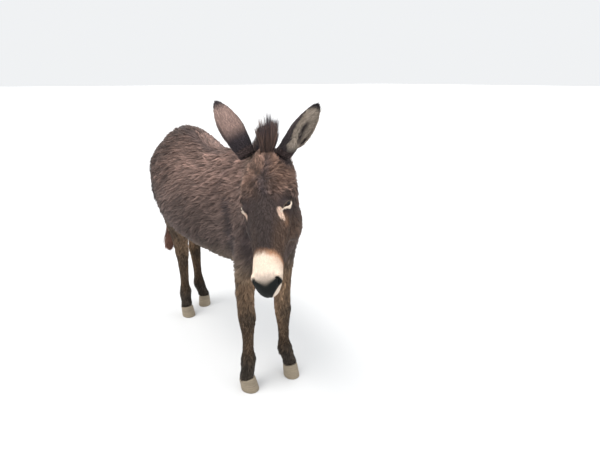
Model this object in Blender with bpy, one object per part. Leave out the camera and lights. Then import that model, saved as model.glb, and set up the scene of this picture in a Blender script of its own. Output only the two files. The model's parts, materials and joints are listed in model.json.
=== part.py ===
"""A life-size standing donkey, head turned to its right and lowered, as a still display model.

Metres, +Z up. The trunk lies along Y and the donkey faces -Y, so its left side is +X.
The surface modelled here is the outside of the coat. Every form of the body is a closed loft:
an oval section carried along a short list of named stations. The lofts are fused, smoothed and
then parted with thin plane cuts into the named pieces.
"""

import math

import bmesh
import bpy
import numpy as np
from mathutils import Matrix, Vector

CUT_GAP = 0.0005  # gap left between neighbouring pieces
VOXEL = 0.009  # cell of the fused body
FACES = {
    "trunk": 1900,
    "neck": 660,
    "head": 1650,
    "tail": 140,
    "switch": 140,
    "upper": 260,
    "lower": 300,
}  # triangles kept in each piece of the body
RING_POINTS = 36
RINGS_PER_SPAN = 3

POLL = (-0.132, -0.612, 1.072)  # top of the head between the ears
HEAD_PITCH = 46.0  # face line below the horizontal, degrees
HEAD_YAW = 33.0  # turned to the donkey's right
HEAD_TWIST = 14.0  # rolled about the face line, left cheek forward
EYE_RADIUS = 0.0185
EYE_PLACE = (0.0615, 0.196, -0.037)  # left of the face's middle line, along the face, out of it
EAR_LENGTH = 0.214
EAR_ROOT = {"left": (0.061, 0.017, -0.022), "right": (-0.064, 0.004, -0.022)}
EAR_LEAN = {"left": (0.64, -0.28, 0.71), "right": (-0.37, -0.79, 0.47)}  # left, along the face, out of it
EAR_OPENS = {"left": (0.41, 0.91, 0.00), "right": (-0.55, -0.40, -0.72)}
EAR_BOW = 0.012
EAR_SWEEP = {"left": -0.010, "right": 0.0}  # bowing of the middle across the ear
EAR_POINTS = 7
EAR_RIM = 0.90  # width of the hollow over that of the ear
#    share of the length, half width, depth of the cup, half angle wrapped, front of the wall (- is hollow)
EAR_SECTIONS = (
    (0.00, 0.030, 0.029, 90, 0.80),
    (0.13, 0.034, 0.031, 100, 0.55),
    (0.22, 0.037, 0.032, 118, 0.05),
    (0.32, 0.039, 0.032, 120, -0.55),
    (0.45, 0.043, 0.031, 110, -0.75),
    (0.60, 0.042, 0.027, 100, -0.75),
    (0.75, 0.035, 0.021, 95, -0.70),
    (0.88, 0.024, 0.014, 90, -0.62),
    (0.96, 0.014, 0.009, 90, -0.30),
    (1.00, 0.005, 0.004, 90, 0.50),
)
HAIR_POINTS = 10
HOOF_POINTS = 16
HOOF_WIDTH = 0.062
HOOF_LENGTH = 0.072
HOOF_SPREAD = 1.12  # sole over coronet
HOOF_REACH = 0.014  # how far the sole stands ahead of the coronet
HOOF_LEVELS = (0.0, 0.04, 0.35, 0.7, 1.0)  # shares of its height where its wall is given a ring
HOOF_EDGE = 0.03  # rounding of the wall's ground edge, as a share of its size
HOOF_SQUARE = 0.9  # power of the cosine that squares the wall's sides
CORONET = 0.050
CORONET_SLOPE = 0.28
SMOOTHING = 12
SOFTENED = (
    ((-0.10, -0.57, 0.92), 0.15),  # neck into head
    ((-0.03, -0.43, 0.90), 0.20),  # neck into chest
    ((0.12, -0.29, 0.84), 0.13),
    ((-0.08, -0.29, 0.84), 0.13),  # shoulders
    ((0.10, 0.36, 0.92), 0.12),
    ((-0.10, 0.36, 0.92), 0.12),  # hips
)
SOFTENING = 30
ALL_AXES = {"use_axis_x": True, "use_axis_y": True, "use_axis_z": True}

# The chest stands a little to the left of the rump's middle, and each foot has its own place:
# its lower leg is slid by these two lengths, all of it below LEG_EASE and none above LEG_ROOT.
CHEST_SHIFT = 0.034
LEG_ROOT = 0.62
LEG_EASE = 0.38
FEET = {
    "fore_left": (0.004, -0.017),
    "fore_right": (-0.006, 0.0),
    "hind_left": (-0.030, 0.048),
    "hind_right": (-0.008, -0.020),
}
ELBOW, UNDER_KNEE, FETLOCK, CORONET_ROW = 4, 8, 11, 13  # stations where the leg is cut or turns
TOES_OUT = {"fore_left": 4, "fore_right": 26, "hind_left": 24, "hind_right": 6}  # degrees

LOOKS = {
    "eye": ((0.02, 0.012, 0.008), 0.08),
    "hoof": ((0.27, 0.22, 0.17), 0.55),
    "mane": ((0.035, 0.026, 0.022), 0.9),
    "forelock": ((0.035, 0.026, 0.022), 0.9),
    "tail_switch": ((0.08, 0.045, 0.032), 0.9),
    "ear": ((0.13, 0.095, 0.078), 0.92),
    "head": ((0.13, 0.088, 0.068), 0.92),
    "lower": ((0.115, 0.08, 0.062), 0.92),
    "upper": ((0.16, 0.12, 0.098), 0.92),
    "neck": ((0.18, 0.135, 0.112), 0.92),
    "tail": ((0.16, 0.115, 0.094), 0.92),
    "trunk": ((0.215, 0.165, 0.14), 0.92),
}  # colour and roughness by the start or end of a piece's name

SIDES = {"left": 1.0, "right": -1.0}


# ---- lofts ----------------------------------------------------------------------------------
def through(stations, per_span):
    """Rows read from a smooth curve through the stations, whose first three numbers are places."""
    rows = np.array(stations, float)
    u = np.concatenate([[0], np.cumsum(np.linalg.norm(np.diff(rows[:, :3], axis=0), axis=1))])
    slope = np.gradient(rows, u, axis=0)
    out = []
    for i in range(len(u) - 1):
        span = u[i + 1] - u[i]
        last = i == len(u) - 2
        for t in np.linspace(0, 1, per_span + 1)[: None if last else -1]:
            h = (2 * t**3 - 3 * t**2 + 1, t**3 - 2 * t**2 + t, 3 * t**2 - 2 * t**3, t**3 - t**2)
            place = h[0] * rows[i] + h[2] * rows[i + 1]
            out.append(place + span * (h[1] * slope[i] + h[3] * slope[i + 1]))
    return np.array(out)


def oval(up, down, top, middle, low, count=RING_POINTS, square=2.25):
    """A closed section: heights above and below its centre, and half widths near top, middle and low."""
    angle = 2 * np.pi * (np.arange(count) + 0.5) / count
    c, s = np.cos(angle), np.sin(angle)
    side = np.sign(c) * np.abs(c) ** (2 / square)
    rise = np.sign(s) * np.abs(s) ** (2 / square)
    h = rise / 0.75
    width = middle + (top - low) / 2 * h + ((top + low) / 2 - middle) * h * h
    return side * np.clip(width, 0.25 * middle, None), np.where(rise > 0, up, down) * rise


def loft(rings):
    """A closed bmesh through rings of points, with a fan at each end."""
    mesh = bmesh.new()
    loops = [[mesh.verts.new(p) for p in ring] for ring in rings]
    count = len(loops[0])
    for a, b in zip(loops, loops[1:]):
        for k in range(count):
            mesh.faces.new((a[k], a[(k + 1) % count], b[(k + 1) % count], b[k]))
    for ring in (loops[0][::-1], loops[-1]):
        tip = mesh.verts.new(sum((v.co for v in ring), Vector()) / count)
        for k in range(count):
            mesh.faces.new((ring[k], ring[(k + 1) % count], tip))
    bmesh.ops.recalc_face_normals(mesh, faces=mesh.faces)
    return mesh


def body_loft(stations, up=(0, 0, 1), normals=None, per_span=RINGS_PER_SPAN, count=RING_POINTS):
    """Sections carried along the path of the stations, standing across it with their top towards up."""
    rows = through(stations, per_span)
    path = rows[:, :3]
    along = np.gradient(path, axis=0)
    if normals is not None:
        along = np.tile(np.array(normals, float), (len(path), 1))
    along /= np.linalg.norm(along, axis=1)[:, None]
    rise = np.array(up, float) - along * (along @ np.array(up, float))[:, None]
    rise /= np.linalg.norm(rise, axis=1)[:, None]
    side = np.cross(along, rise)
    rings = []
    for c, a, b, row in zip(path, side, rise, rows):
        x, z = oval(*row[3:8], count)
        rings.append(c + np.outer(x, a) + np.outer(z, b))
    return rings


# ---- head frame -------------------------------------------------------------------------------
def head_frame():
    """Matrix from head coordinates (left, along the face, out of the face) to the world."""
    pitch, twist = math.radians(HEAD_PITCH), math.radians(HEAD_TWIST)
    along = Vector((0, -math.cos(pitch), -math.sin(pitch)))
    out = Vector((0, -math.sin(pitch), math.cos(pitch)))
    left = Vector((1, 0, 0))
    turned_out = math.cos(twist) * out - math.sin(twist) * left
    turned_left = math.cos(twist) * left + math.sin(twist) * out
    rotation = Matrix((turned_left, along, turned_out)).transposed()
    yaw = Matrix.Rotation(-math.radians(HEAD_YAW), 3, "Z")
    frame = (yaw @ rotation).to_4x4()
    frame.translation = Vector(POLL)
    return frame


HEAD = head_frame()


def on_head(points):
    turn = np.array(HEAD.to_3x3())
    return np.asarray(points, float) @ turn.T + np.array(HEAD.translation)


# ---- stations -----------------------------------------------------------------------------------
#    x, y, z of the centre, height above and below it, half width near the top, at the middle, low
TRUNK = (
    (0.032, -0.500, 0.735, 0.060, 0.070, 0.040, 0.055, 0.045),  # breast bone
    (0.032, -0.465, 0.735, 0.125, 0.130, 0.065, 0.090, 0.075),
    (0.030, -0.400, 0.730, 0.200, 0.195, 0.080, 0.118, 0.095),  # point of the shoulder
    (0.027, -0.310, 0.725, 0.275, 0.230, 0.085, 0.142, 0.105),
    (0.020, -0.210, 0.715, 0.315, 0.235, 0.095, 0.172, 0.125),  # withers
    (0.006, -0.070, 0.710, 0.295, 0.230, 0.130, 0.222, 0.165),  # girth
    (0.000, 0.070, 0.715, 0.285, 0.230, 0.155, 0.250, 0.185),  # belly
    (0.000, 0.190, 0.740, 0.287, 0.225, 0.165, 0.250, 0.180),
    (0.000, 0.290, 0.780, 0.278, 0.205, 0.165, 0.235, 0.165),  # croup
    (0.000, 0.380, 0.815, 0.250, 0.180, 0.160, 0.215, 0.145),
    (0.000, 0.465, 0.840, 0.208, 0.155, 0.138, 0.190, 0.122),
    (0.000, 0.532, 0.840, 0.145, 0.115, 0.095, 0.136, 0.090),  # buttock
    (0.000, 0.560, 0.840, 0.065, 0.055, 0.045, 0.060, 0.038),
)

TAIL = (
    (0.000, 0.480, 0.965, 0.030, 0.030, 0.020, 0.030, 0.025),
    (0.000, 0.550, 0.950, 0.030, 0.030, 0.020, 0.030, 0.025),  # dock
    (0.000, 0.605, 0.890, 0.026, 0.026, 0.020, 0.028, 0.022),
    (0.000, 0.625, 0.800, 0.022, 0.022, 0.018, 0.024, 0.020),
    (-0.003, 0.630, 0.700, 0.020, 0.020, 0.016, 0.021, 0.018),
    (-0.012, 0.630, 0.600, 0.020, 0.020, 0.016, 0.021, 0.018),
    (-0.026, 0.630, 0.520, 0.030, 0.030, 0.022, 0.031, 0.026),  # switch
    (-0.046, 0.630, 0.430, 0.034, 0.034, 0.024, 0.034, 0.028),
    (-0.068, 0.628, 0.350, 0.026, 0.026, 0.018, 0.027, 0.022),
    (-0.084, 0.626, 0.300, 0.010, 0.010, 0.008, 0.012, 0.010),
)

NECK = (
    (0.020, -0.250, 0.815, 0.185, 0.190, 0.050, 0.100, 0.090),  # inside the shoulders
    (0.005, -0.350, 0.845, 0.180, 0.195, 0.048, 0.098, 0.090),
    (-0.022, -0.440, 0.890, 0.155, 0.175, 0.045, 0.092, 0.085),
    (-0.060, -0.520, 0.935, 0.130, 0.145, 0.045, 0.086, 0.080),
    (-0.098, -0.580, 0.965, 0.105, 0.110, 0.045, 0.080, 0.070),  # throat
    (-0.132, -0.625, 0.975, 0.080, 0.080, 0.045, 0.070, 0.060),
)

#    x, y, z on the crest, height above and below it, half width at the top, middle, low
MANE = (
    (-0.120, -0.598, 1.066, 0.022, 0.030, 0.008, 0.014, 0.012),
    (-0.108, -0.575, 1.070, 0.040, 0.035, 0.010, 0.018, 0.018),
    (-0.085, -0.530, 1.062, 0.052, 0.040, 0.010, 0.019, 0.020),
    (-0.050, -0.460, 1.046, 0.058, 0.040, 0.010, 0.019, 0.020),
    (-0.015, -0.380, 1.028, 0.056, 0.040, 0.009, 0.018, 0.020),
    (0.010, -0.300, 1.014, 0.042, 0.040, 0.008, 0.016, 0.018),
    (0.020, -0.240, 1.018, 0.022, 0.034, 0.006, 0.012, 0.014),
    (0.022, -0.215, 1.020, 0.008, 0.020, 0.004, 0.008, 0.010),
)
#    x, y, z up the tuft, depth to the back, to the front, half widths
FORELOCK = (
    (-0.128, -0.606, 1.035, 0.024, 0.028, 0.024, 0.030, 0.024),
    (-0.127, -0.612, 1.075, 0.024, 0.028, 0.026, 0.033, 0.026),
    (-0.123, -0.615, 1.110, 0.022, 0.024, 0.023, 0.031, 0.023),
    (-0.119, -0.616, 1.145, 0.016, 0.018, 0.018, 0.026, 0.018),
    (-0.116, -0.616, 1.172, 0.006, 0.008, 0.007, 0.011, 0.007),
)

#    lateral place, y, z, depth to the back, to the front, half width at the back, middle, front
FORE_LEG = (
    (0.055, -0.230, 0.930, 0.060, 0.060, 0.030, 0.040, 0.030),  # shoulder blade
    (0.075, -0.290, 0.820, 0.100, 0.095, 0.040, 0.055, 0.040),
    (0.085, -0.340, 0.710, 0.110, 0.095, 0.045, 0.062, 0.045),  # point of the shoulder
    (0.087, -0.330, 0.620, 0.100, 0.080, 0.046, 0.058, 0.046),  # elbow
    (0.083, -0.325, 0.530, 0.068, 0.064, 0.040, 0.050, 0.042),
    (0.083, -0.332, 0.440, 0.050, 0.050, 0.032, 0.043, 0.036),  # forearm
    (0.080, -0.344, 0.375, 0.042, 0.042, 0.030, 0.039, 0.035),
    (0.079, -0.352, 0.325, 0.043, 0.042, 0.032, 0.043, 0.038),  # knee
    (0.079, -0.354, 0.280, 0.038, 0.034, 0.026, 0.035, 0.030),
    (0.080, -0.356, 0.215, 0.033, 0.027, 0.021, 0.027, 0.025),  # cannon
    (0.082, -0.357, 0.160, 0.035, 0.028, 0.023, 0.029, 0.026),
    (0.084, -0.361, 0.125, 0.042, 0.035, 0.029, 0.038, 0.033),  # fetlock
    (0.090, -0.373, 0.088, 0.034, 0.030, 0.026, 0.031, 0.028),  # pastern
    (0.094, -0.383, 0.055, 0.038, 0.034, 0.032, 0.037, 0.032),
    (0.095, -0.387, 0.030, 0.036, 0.034, 0.030, 0.035, 0.030),
)
HIND_LEG = (
    (0.070, 0.350, 0.960, 0.080, 0.080, 0.040, 0.050, 0.040),  # hip
    (0.112, 0.385, 0.860, 0.135, 0.135, 0.060, 0.085, 0.065),
    (0.122, 0.395, 0.760, 0.135, 0.155, 0.065, 0.090, 0.075),  # thigh
    (0.114, 0.385, 0.660, 0.112, 0.140, 0.055, 0.078, 0.070),  # stifle
    (0.098, 0.395, 0.570, 0.080, 0.105, 0.042, 0.062, 0.055),
    (0.082, 0.420, 0.490, 0.062, 0.066, 0.032, 0.050, 0.042),  # gaskin
    (0.068, 0.445, 0.420, 0.056, 0.048, 0.026, 0.041, 0.036),
    (0.062, 0.455, 0.370, 0.054, 0.046, 0.026, 0.040, 0.036),  # hock
    (0.062, 0.450, 0.315, 0.041, 0.038, 0.024, 0.034, 0.031),
    (0.063, 0.444, 0.245, 0.033, 0.029, 0.022, 0.028, 0.026),  # cannon
    (0.065, 0.440, 0.170, 0.033, 0.029, 0.023, 0.028, 0.026),
    (0.066, 0.438, 0.130, 0.042, 0.036, 0.028, 0.036, 0.032),  # fetlock
    (0.069, 0.422, 0.088, 0.034, 0.030, 0.025, 0.030, 0.027),  # pastern
    (0.071, 0.410, 0.055, 0.038, 0.034, 0.031, 0.036, 0.031),
    (0.072, 0.406, 0.030, 0.036, 0.034, 0.030, 0.034, 0.029),
)

#    left, along the face, out of the face, height up, down, half width near the top, middle, low
SKULL = (
    (0, -0.045, -0.095, 0.040, 0.040, 0.030, 0.040, 0.030),
    (0, -0.020, -0.090, 0.080, 0.070, 0.060, 0.070, 0.045),  # behind the poll
    (0, 0.030, -0.090, 0.103, 0.090, 0.084, 0.084, 0.050),  # ear roots
    (0, 0.085, -0.090, 0.112, 0.105, 0.098, 0.090, 0.054),  # forehead
    (0, 0.140, -0.092, 0.112, 0.115, 0.102, 0.094, 0.056),
    (0, 0.190, -0.092, 0.100, 0.115, 0.073, 0.084, 0.056),  # eyes
    (0, 0.240, -0.086, 0.088, 0.104, 0.066, 0.076, 0.050),  # cheek
    (0, 0.295, -0.076, 0.072, 0.084, 0.054, 0.062, 0.042),  # bridge of the nose
    (0, 0.350, -0.066, 0.058, 0.066, 0.045, 0.049, 0.037),
    (0, 0.398, -0.062, 0.050, 0.056, 0.044, 0.047, 0.036),  # nostrils
    (0, 0.435, -0.063, 0.041, 0.046, 0.040, 0.044, 0.032),
    (0, 0.462, -0.067, 0.030, 0.034, 0.028, 0.033, 0.024),
    (0, 0.477, -0.072, 0.013, 0.015, 0.013, 0.016, 0.012),  # upper lip
)


#    left, along the face, out of the face, half sizes the same three ways; one on each side
HEAD_PAIRS = (
    (0.060, 0.200, -0.124, 0.036, 0.080, 0.068),  # cheek
    (0.070, 0.158, -0.034, 0.024, 0.030, 0.030),  # brow
    (0.060, 0.197, -0.041, 0.024, 0.028, 0.025),  # lids
    (0.031, 0.420, -0.046, 0.019, 0.034, 0.026),  # nostril
)
CHIN = (0.004, 0.430, -0.104, 0.026, 0.032, 0.022)

#    cuts: centre, normal, half sizes along and across the long side, long side
NECK_CUT = ((0, -0.375, 0.865), (0.05, -0.79, 0.62), 0.30, 0.22, (0, 0.62, 0.79))
THROAT_CUT = ((0, 0.055, -0.100), (0, 0.69, 0.72), 0.16, 0.20, (1, 0, 0))  # in head coordinates
DOCK_CUT = ((0, 0.618, 0.870), (0, 0.2, -1), 0.042, 0.05)
SWITCH_CUT = ((-0.018, 0.630, 0.560), (0, 0, 1), 0.05, 0.05)
CUT_REACH = {"fore": (0.095, 0.085), "hind": (0.15, 0.10), "shank": (0.07, 0.055)}
ELBOW_DROP = 0.01  # the cut at the top of a leg stands this far under its station
ELBOW_TILT = 0.5  # and rises towards the belly
#    a point inside each piece that isn't in a leg
SEEDS = {
    "trunk": (0, 0.1, 1.0),
    "neck": (-0.08, -0.52, 1.06),
    "tail": (0, 0.63, 0.75),
    "tail_switch": (-0.04, 0.63, 0.45),
}
HEAD_SEED = (0, 0.3, 0)  # in head coordinates
UPPER_SEED, LOWER_SEED = 6, 10  # stations inside the two pieces of a leg
SHARP = math.radians(50)  # edges folded more than this are shaded sharp


def head_loft(stations):
    rows = through(stations, RINGS_PER_SPAN)
    rings = []
    for row in rows:
        x, z = oval(*row[3:8])
        local = np.stack([row[0] + x, np.full_like(x, row[1]), row[2] + z], axis=1)
        rings.append(on_head(local))
    return rings


def leg_place(name, lateral, y, z):
    """Where a point of the leg stands, given for an even stance on the left side."""
    side = SIDES[name.split("_")[1]]
    fore = name.startswith("fore")
    root = CHEST_SHIFT if fore else 0.0
    shift_x, shift_y = FEET[name]
    joint = (FORE_LEG if fore else HIND_LEG)[FETLOCK]
    if z < joint[2]:
        turn = math.radians(TOES_OUT[name])
        ahead = joint[1] - y
        lateral += math.sin(turn) * ahead
        y = joint[1] - math.cos(turn) * ahead
    slide = min(1.0, max(0.0, (LEG_ROOT - z) / (LEG_ROOT - LEG_EASE)))
    return side * lateral + (1 - slide) * root + slide * shift_x, y + slide * shift_y, z


def leg_rings(name):
    rows = FORE_LEG if name.startswith("fore") else HIND_LEG
    return body_loft([(*leg_place(name, *row[:3]), *row[3:]) for row in rows], up=(0, 1, 0))


def coronet(name):
    """Where the top of a hoof stands, and the turn of its toe."""
    row = (FORE_LEG if name.startswith("fore") else HIND_LEG)[CORONET_ROW]
    x, y, _ = leg_place(name, *row[:3])
    out = -SIDES[name.split("_")[1]] * math.radians(TOES_OUT[name])
    return x, y, Matrix.Rotation(out, 3, "Z")


# ---- objects ----------------------------------------------------------------------------------
def add_object(name, mesh):
    data = bpy.data.meshes.new(name)
    mesh.to_mesh(data)
    mesh.free()
    obj = bpy.data.objects.new(name, data)
    bpy.context.scene.collection.objects.link(obj)
    return obj


def merged(parts):
    whole = bmesh.new()
    for part in parts:
        data = bpy.data.meshes.new("part")
        part.to_mesh(data)
        whole.from_mesh(data)
        bpy.data.meshes.remove(data)
        part.free()
    return whole


def ellipsoid(centre, radii, rotation=None):
    mesh = bmesh.new()
    bmesh.ops.create_uvsphere(mesh, u_segments=14, v_segments=9, radius=1)
    matrix = Matrix.Translation(Vector(centre)) @ (rotation or Matrix()) @ Matrix.Diagonal((*radii, 1))
    bmesh.ops.transform(mesh, matrix=matrix, verts=mesh.verts)
    return mesh


def in_head(mesh):
    """Carry a closed mesh from head coordinates, which are left-handed, to the world."""
    bmesh.ops.transform(mesh, matrix=HEAD, verts=mesh.verts)
    bmesh.ops.recalc_face_normals(mesh, faces=mesh.faces)
    return mesh


def head_ellipsoid(side, left, along, out, *radii):
    return in_head(ellipsoid((side * left, along, out), radii))


def body_forms():
    forms = [loft(body_loft(TRUNK, normals=(0, 1, 0))), loft(body_loft(NECK)), loft(head_loft(SKULL))]
    forms.append(loft(body_loft(TAIL, up=(0, 1, 0))))
    for name, side in SIDES.items():
        forms.append(loft(leg_rings("fore_" + name)))
        forms.append(loft(leg_rings("hind_" + name)))
        forms += [head_ellipsoid(side, *form) for form in HEAD_PAIRS]
    forms.append(head_ellipsoid(1, *CHIN))
    return forms


def evaluated(obj):
    """The object's mesh with its modifiers applied, as a bmesh."""
    graph = bpy.context.evaluated_depsgraph_get()
    mesh = bmesh.new()
    mesh.from_object(obj, graph)
    return mesh


def replace_mesh(obj, mesh):
    obj.modifiers.clear()
    mesh.to_mesh(obj.data)
    mesh.free()


def fused(forms):
    """One smooth closed surface over all the forms."""
    obj = add_object("fused", merged(forms))
    remesh = obj.modifiers.new("fuse", "REMESH")
    remesh.mode = "VOXEL"
    remesh.voxel_size = VOXEL
    soften = obj.modifiers.new("soften", "SMOOTH")
    soften.factor = 0.5
    soften.iterations = SMOOTHING
    mesh = evaluated(obj)
    for centre, radius in SOFTENED:
        near = [v for v in mesh.verts if (v.co - Vector(centre)).length < radius]
        for _ in range(SOFTENING):
            bmesh.ops.smooth_vert(mesh, verts=near, factor=0.5, **ALL_AXES)
    replace_mesh(obj, mesh)
    return obj


def thinned(obj, triangles):
    """The same surface with fewer faces."""
    thin = obj.modifiers.new("thin", "DECIMATE")
    thin.ratio = triangles / len(obj.data.polygons)
    replace_mesh(obj, evaluated(obj))


def subtract(obj, cutters):
    """Take closed bodies, which don't touch each other, out of an object."""
    tool = add_object("cutter", merged(cutters))
    cut = obj.modifiers.new("cut", "BOOLEAN")
    cut.operation = "DIFFERENCE"
    cut.solver = "EXACT"
    cut.object = tool
    mesh = evaluated(obj)
    bmesh.ops.dissolve_degenerate(mesh, dist=1e-6, edges=mesh.edges)
    bmesh.ops.triangulate(mesh, faces=mesh.faces)
    replace_mesh(obj, mesh)
    bpy.data.objects.remove(tool)


def slab(centre, normal, half_long, half_wide, long_side=(0, 1, 0)):
    """A thin box across the body: its normal, and how far it reaches along and across long_side."""
    n = Vector(normal).normalized()
    u = (Vector(long_side) - n * n.dot(Vector(long_side))).normalized()
    v = n.cross(u)
    mesh = bmesh.new()
    bmesh.ops.create_cube(mesh, size=2)
    frame = Matrix((u * half_long, v * half_wide, n * (CUT_GAP / 2))).transposed().to_4x4()
    frame.translation = Vector(centre)
    bmesh.ops.transform(mesh, matrix=frame, verts=mesh.verts)
    bmesh.ops.recalc_face_normals(mesh, faces=mesh.faces)
    return mesh


def islands(mesh):
    """The separate bodies of a mesh, as lists of vertices."""
    left, found = set(mesh.verts), []
    while left:
        queue = [left.pop()]
        body = list(queue)
        while queue:
            for edge in queue.pop().link_edges:
                for vert in edge.verts:
                    if vert in left:
                        left.remove(vert)
                        queue.append(vert)
                        body.append(vert)
        found.append(body)
    return found


def parted(obj, seeds):
    """Split a cut object into named ones: a name goes to the body that comes nearest its seed point."""
    whole = bmesh.new()
    whole.from_mesh(obj.data)
    bodies = islands(whole)
    for name, seed in seeds.items():
        best = min(bodies, key=lambda body: min((v.co - Vector(seed)).length for v in body))
        keep = set(best)
        piece = whole.copy()
        piece.verts.ensure_lookup_table()
        whole.verts.ensure_lookup_table()
        drop = [piece.verts[v.index] for v in whole.verts if v not in keep]
        bmesh.ops.delete(piece, geom=drop, context="VERTS")
        add_object(name, piece)
    whole.free()
    bpy.data.objects.remove(obj)


def swollen(obj, by):
    mesh = bmesh.new()
    mesh.from_mesh(obj.data)
    mesh.normal_update()
    for vert, place in [(v, v.co + v.normal * by) for v in mesh.verts]:
        vert.co = place
    return mesh


# ---- separate pieces ------------------------------------------------------------------------
def hoof(name):
    """A hoof with a flat sole on the floor, its wall sloping back up to the coronet."""
    x, y, turn = coronet(name)
    rings = []
    for t in HOOF_LEVELS:
        ring = []
        spread = HOOF_SPREAD * (1 - t) + t - (0 if t else HOOF_EDGE)
        for k in range(HOOF_POINTS):
            a = 2 * math.pi * k / HOOF_POINTS
            across = HOOF_WIDTH / 2 * spread * math.copysign(abs(math.cos(a)) ** HOOF_SQUARE, math.cos(a))
            ahead = HOOF_LENGTH / 2 * spread * math.sin(a)
            ahead += HOOF_REACH * (1 - t)
            rise = t * (CORONET + CORONET_SLOPE * ahead)
            ring.append(turn @ Vector((across, -ahead, 0)) + Vector((x, y, rise)))
        rings.append(ring)
    return loft(rings)


def ear(name):
    """A long cupped shell. Its section closes to a solid root at the bottom and opens towards the side."""
    root = Vector(EAR_ROOT[name])
    lean = Vector(EAR_LEAN[name]).normalized()
    open_to = Vector(EAR_OPENS[name])
    open_to = (open_to - lean * lean.dot(open_to)).normalized()
    wide = lean.cross(open_to)
    rings = []
    for t, half, cup, wrap, front in EAR_SECTIONS:
        centre = root + lean * (t * EAR_LENGTH) + open_to * (EAR_BOW * t * t)
        centre += wide * (EAR_SWEEP[name] * 4 * t * (1 - t))
        angles = np.radians(np.linspace(-wrap, wrap, EAR_POINTS))
        outer = [(math.sin(a) * half, -math.cos(a) * cup) for a in angles]
        inner = [(math.sin(a) * half * EAR_RIM, math.cos(a) * cup * front) for a in angles[::-1]]
        rings.append([HEAD @ (centre + wide * p + open_to * q) for p, q in outer + inner])
    return loft(rings)


def hair(name, stations, up, bodies):
    """Standing hair, rooted in the bodies given and ending just above them."""
    obj = add_object(name, loft(body_loft(stations, up, per_span=2, count=HAIR_POINTS)))
    for body in bodies:
        subtract(obj, [swollen(bpy.data.objects[body], CUT_GAP)])


def cut_apart(body):
    """Cut the body thinly where its parts are told apart, and name each piece by a point inside it."""
    cutters = [slab(*NECK_CUT), in_head(slab(*THROAT_CUT)), slab(*DOCK_CUT), slab(*SWITCH_CUT)]
    seeds = SEEDS | {"head": HEAD @ Vector(HEAD_SEED)}
    for name in FEET:
        which, side = name.split("_")
        rows = FORE_LEG if which == "fore" else HIND_LEG
        top = Vector(leg_place(name, *rows[ELBOW][:3])) - Vector((0, 0, ELBOW_DROP))
        cutters.append(slab(top, (-ELBOW_TILT * SIDES[side], 0, 1), *CUT_REACH[which]))
        under_knee = leg_place(name, *rows[UNDER_KNEE][:3])
        cutters.append(slab(under_knee, (0, 0, 1), *CUT_REACH["shank"]))
        x, y, turn = coronet(name)
        slope = turn @ Vector((0, CORONET_SLOPE, 1))
        cutters.append(slab((x, y, CORONET + CUT_GAP), slope, *CUT_REACH["shank"]))
        seeds[name + "_upper"] = leg_place(name, *rows[UPPER_SEED][:3])
        seeds[name + "_lower"] = leg_place(name, *rows[LOWER_SEED][:3])
    subtract(body, cutters)
    parted(body, seeds)
    for name in seeds:
        thinned(bpy.data.objects[name], FACES.get(name, FACES[name.split("_")[-1]]))


def painted(obj):
    """Give the piece the colour of its part of the coat, and smooth shading over sharp cut edges."""
    named = [key for key in LOOKS if obj.name.startswith(key) or obj.name.endswith(key)]
    color, roughness = LOOKS[named[0]]
    material = bpy.data.materials.new(obj.name)
    material.use_nodes = True
    shader = material.node_tree.nodes["Principled BSDF"]
    shader.inputs["Base Color"].default_value = (*color, 1)
    shader.inputs["Roughness"].default_value = roughness
    shader.inputs["Metallic"].default_value = 0.0
    obj.data.materials.append(material)
    for face in obj.data.polygons:
        face.use_smooth = True
    mesh = bmesh.new()
    mesh.from_mesh(obj.data)
    for edge in mesh.edges:
        edge.smooth = edge.calc_face_angle(0) < SHARP
    mesh.to_mesh(obj.data)
    mesh.free()


def set_down():
    """Stand the middle of the whole thing's box over the origin."""
    pieces = list(bpy.data.objects)
    places = np.concatenate([[v.co for v in obj.data.vertices] for obj in pieces])
    middle = (places.min(axis=0) + places.max(axis=0)) / 2
    move = Matrix.Translation((-middle[0], -middle[1], 0))
    for obj in pieces:
        obj.data.transform(move)


def main():
    for obj in list(bpy.data.objects):
        bpy.data.objects.remove(obj)
    cut_apart(fused(body_forms()))
    for name in FEET:
        add_object("hoof_" + name, hoof(name))
    head = bpy.data.objects["head"]
    for name, side in SIDES.items():
        shell = add_object("ear_" + name, ear(name))
        for body in ("head", "neck"):
            subtract(shell, [swollen(bpy.data.objects[body], CUT_GAP)])
    for name, side in SIDES.items():
        centre = HEAD @ Vector((side * EYE_PLACE[0], EYE_PLACE[1], EYE_PLACE[2]))
        subtract(head, [ellipsoid(centre, [EYE_RADIUS + CUT_GAP] * 3)])
        add_object("eye_" + name, ellipsoid(centre, [EYE_RADIUS] * 3))
    hair("mane", MANE, (0, 0, 1), ("neck", "trunk", "head"))
    hair("forelock", FORELOCK, (0, 1, 0), ("head", "neck", "mane", "ear_left", "ear_right"))
    for obj in bpy.data.objects:
        painted(obj)
    set_down()


main()
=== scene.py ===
import json
import math

import bmesh
import bpy
import numpy as np
from mathutils import Matrix, Vector
from mathutils.bvhtree import BVHTree


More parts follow.
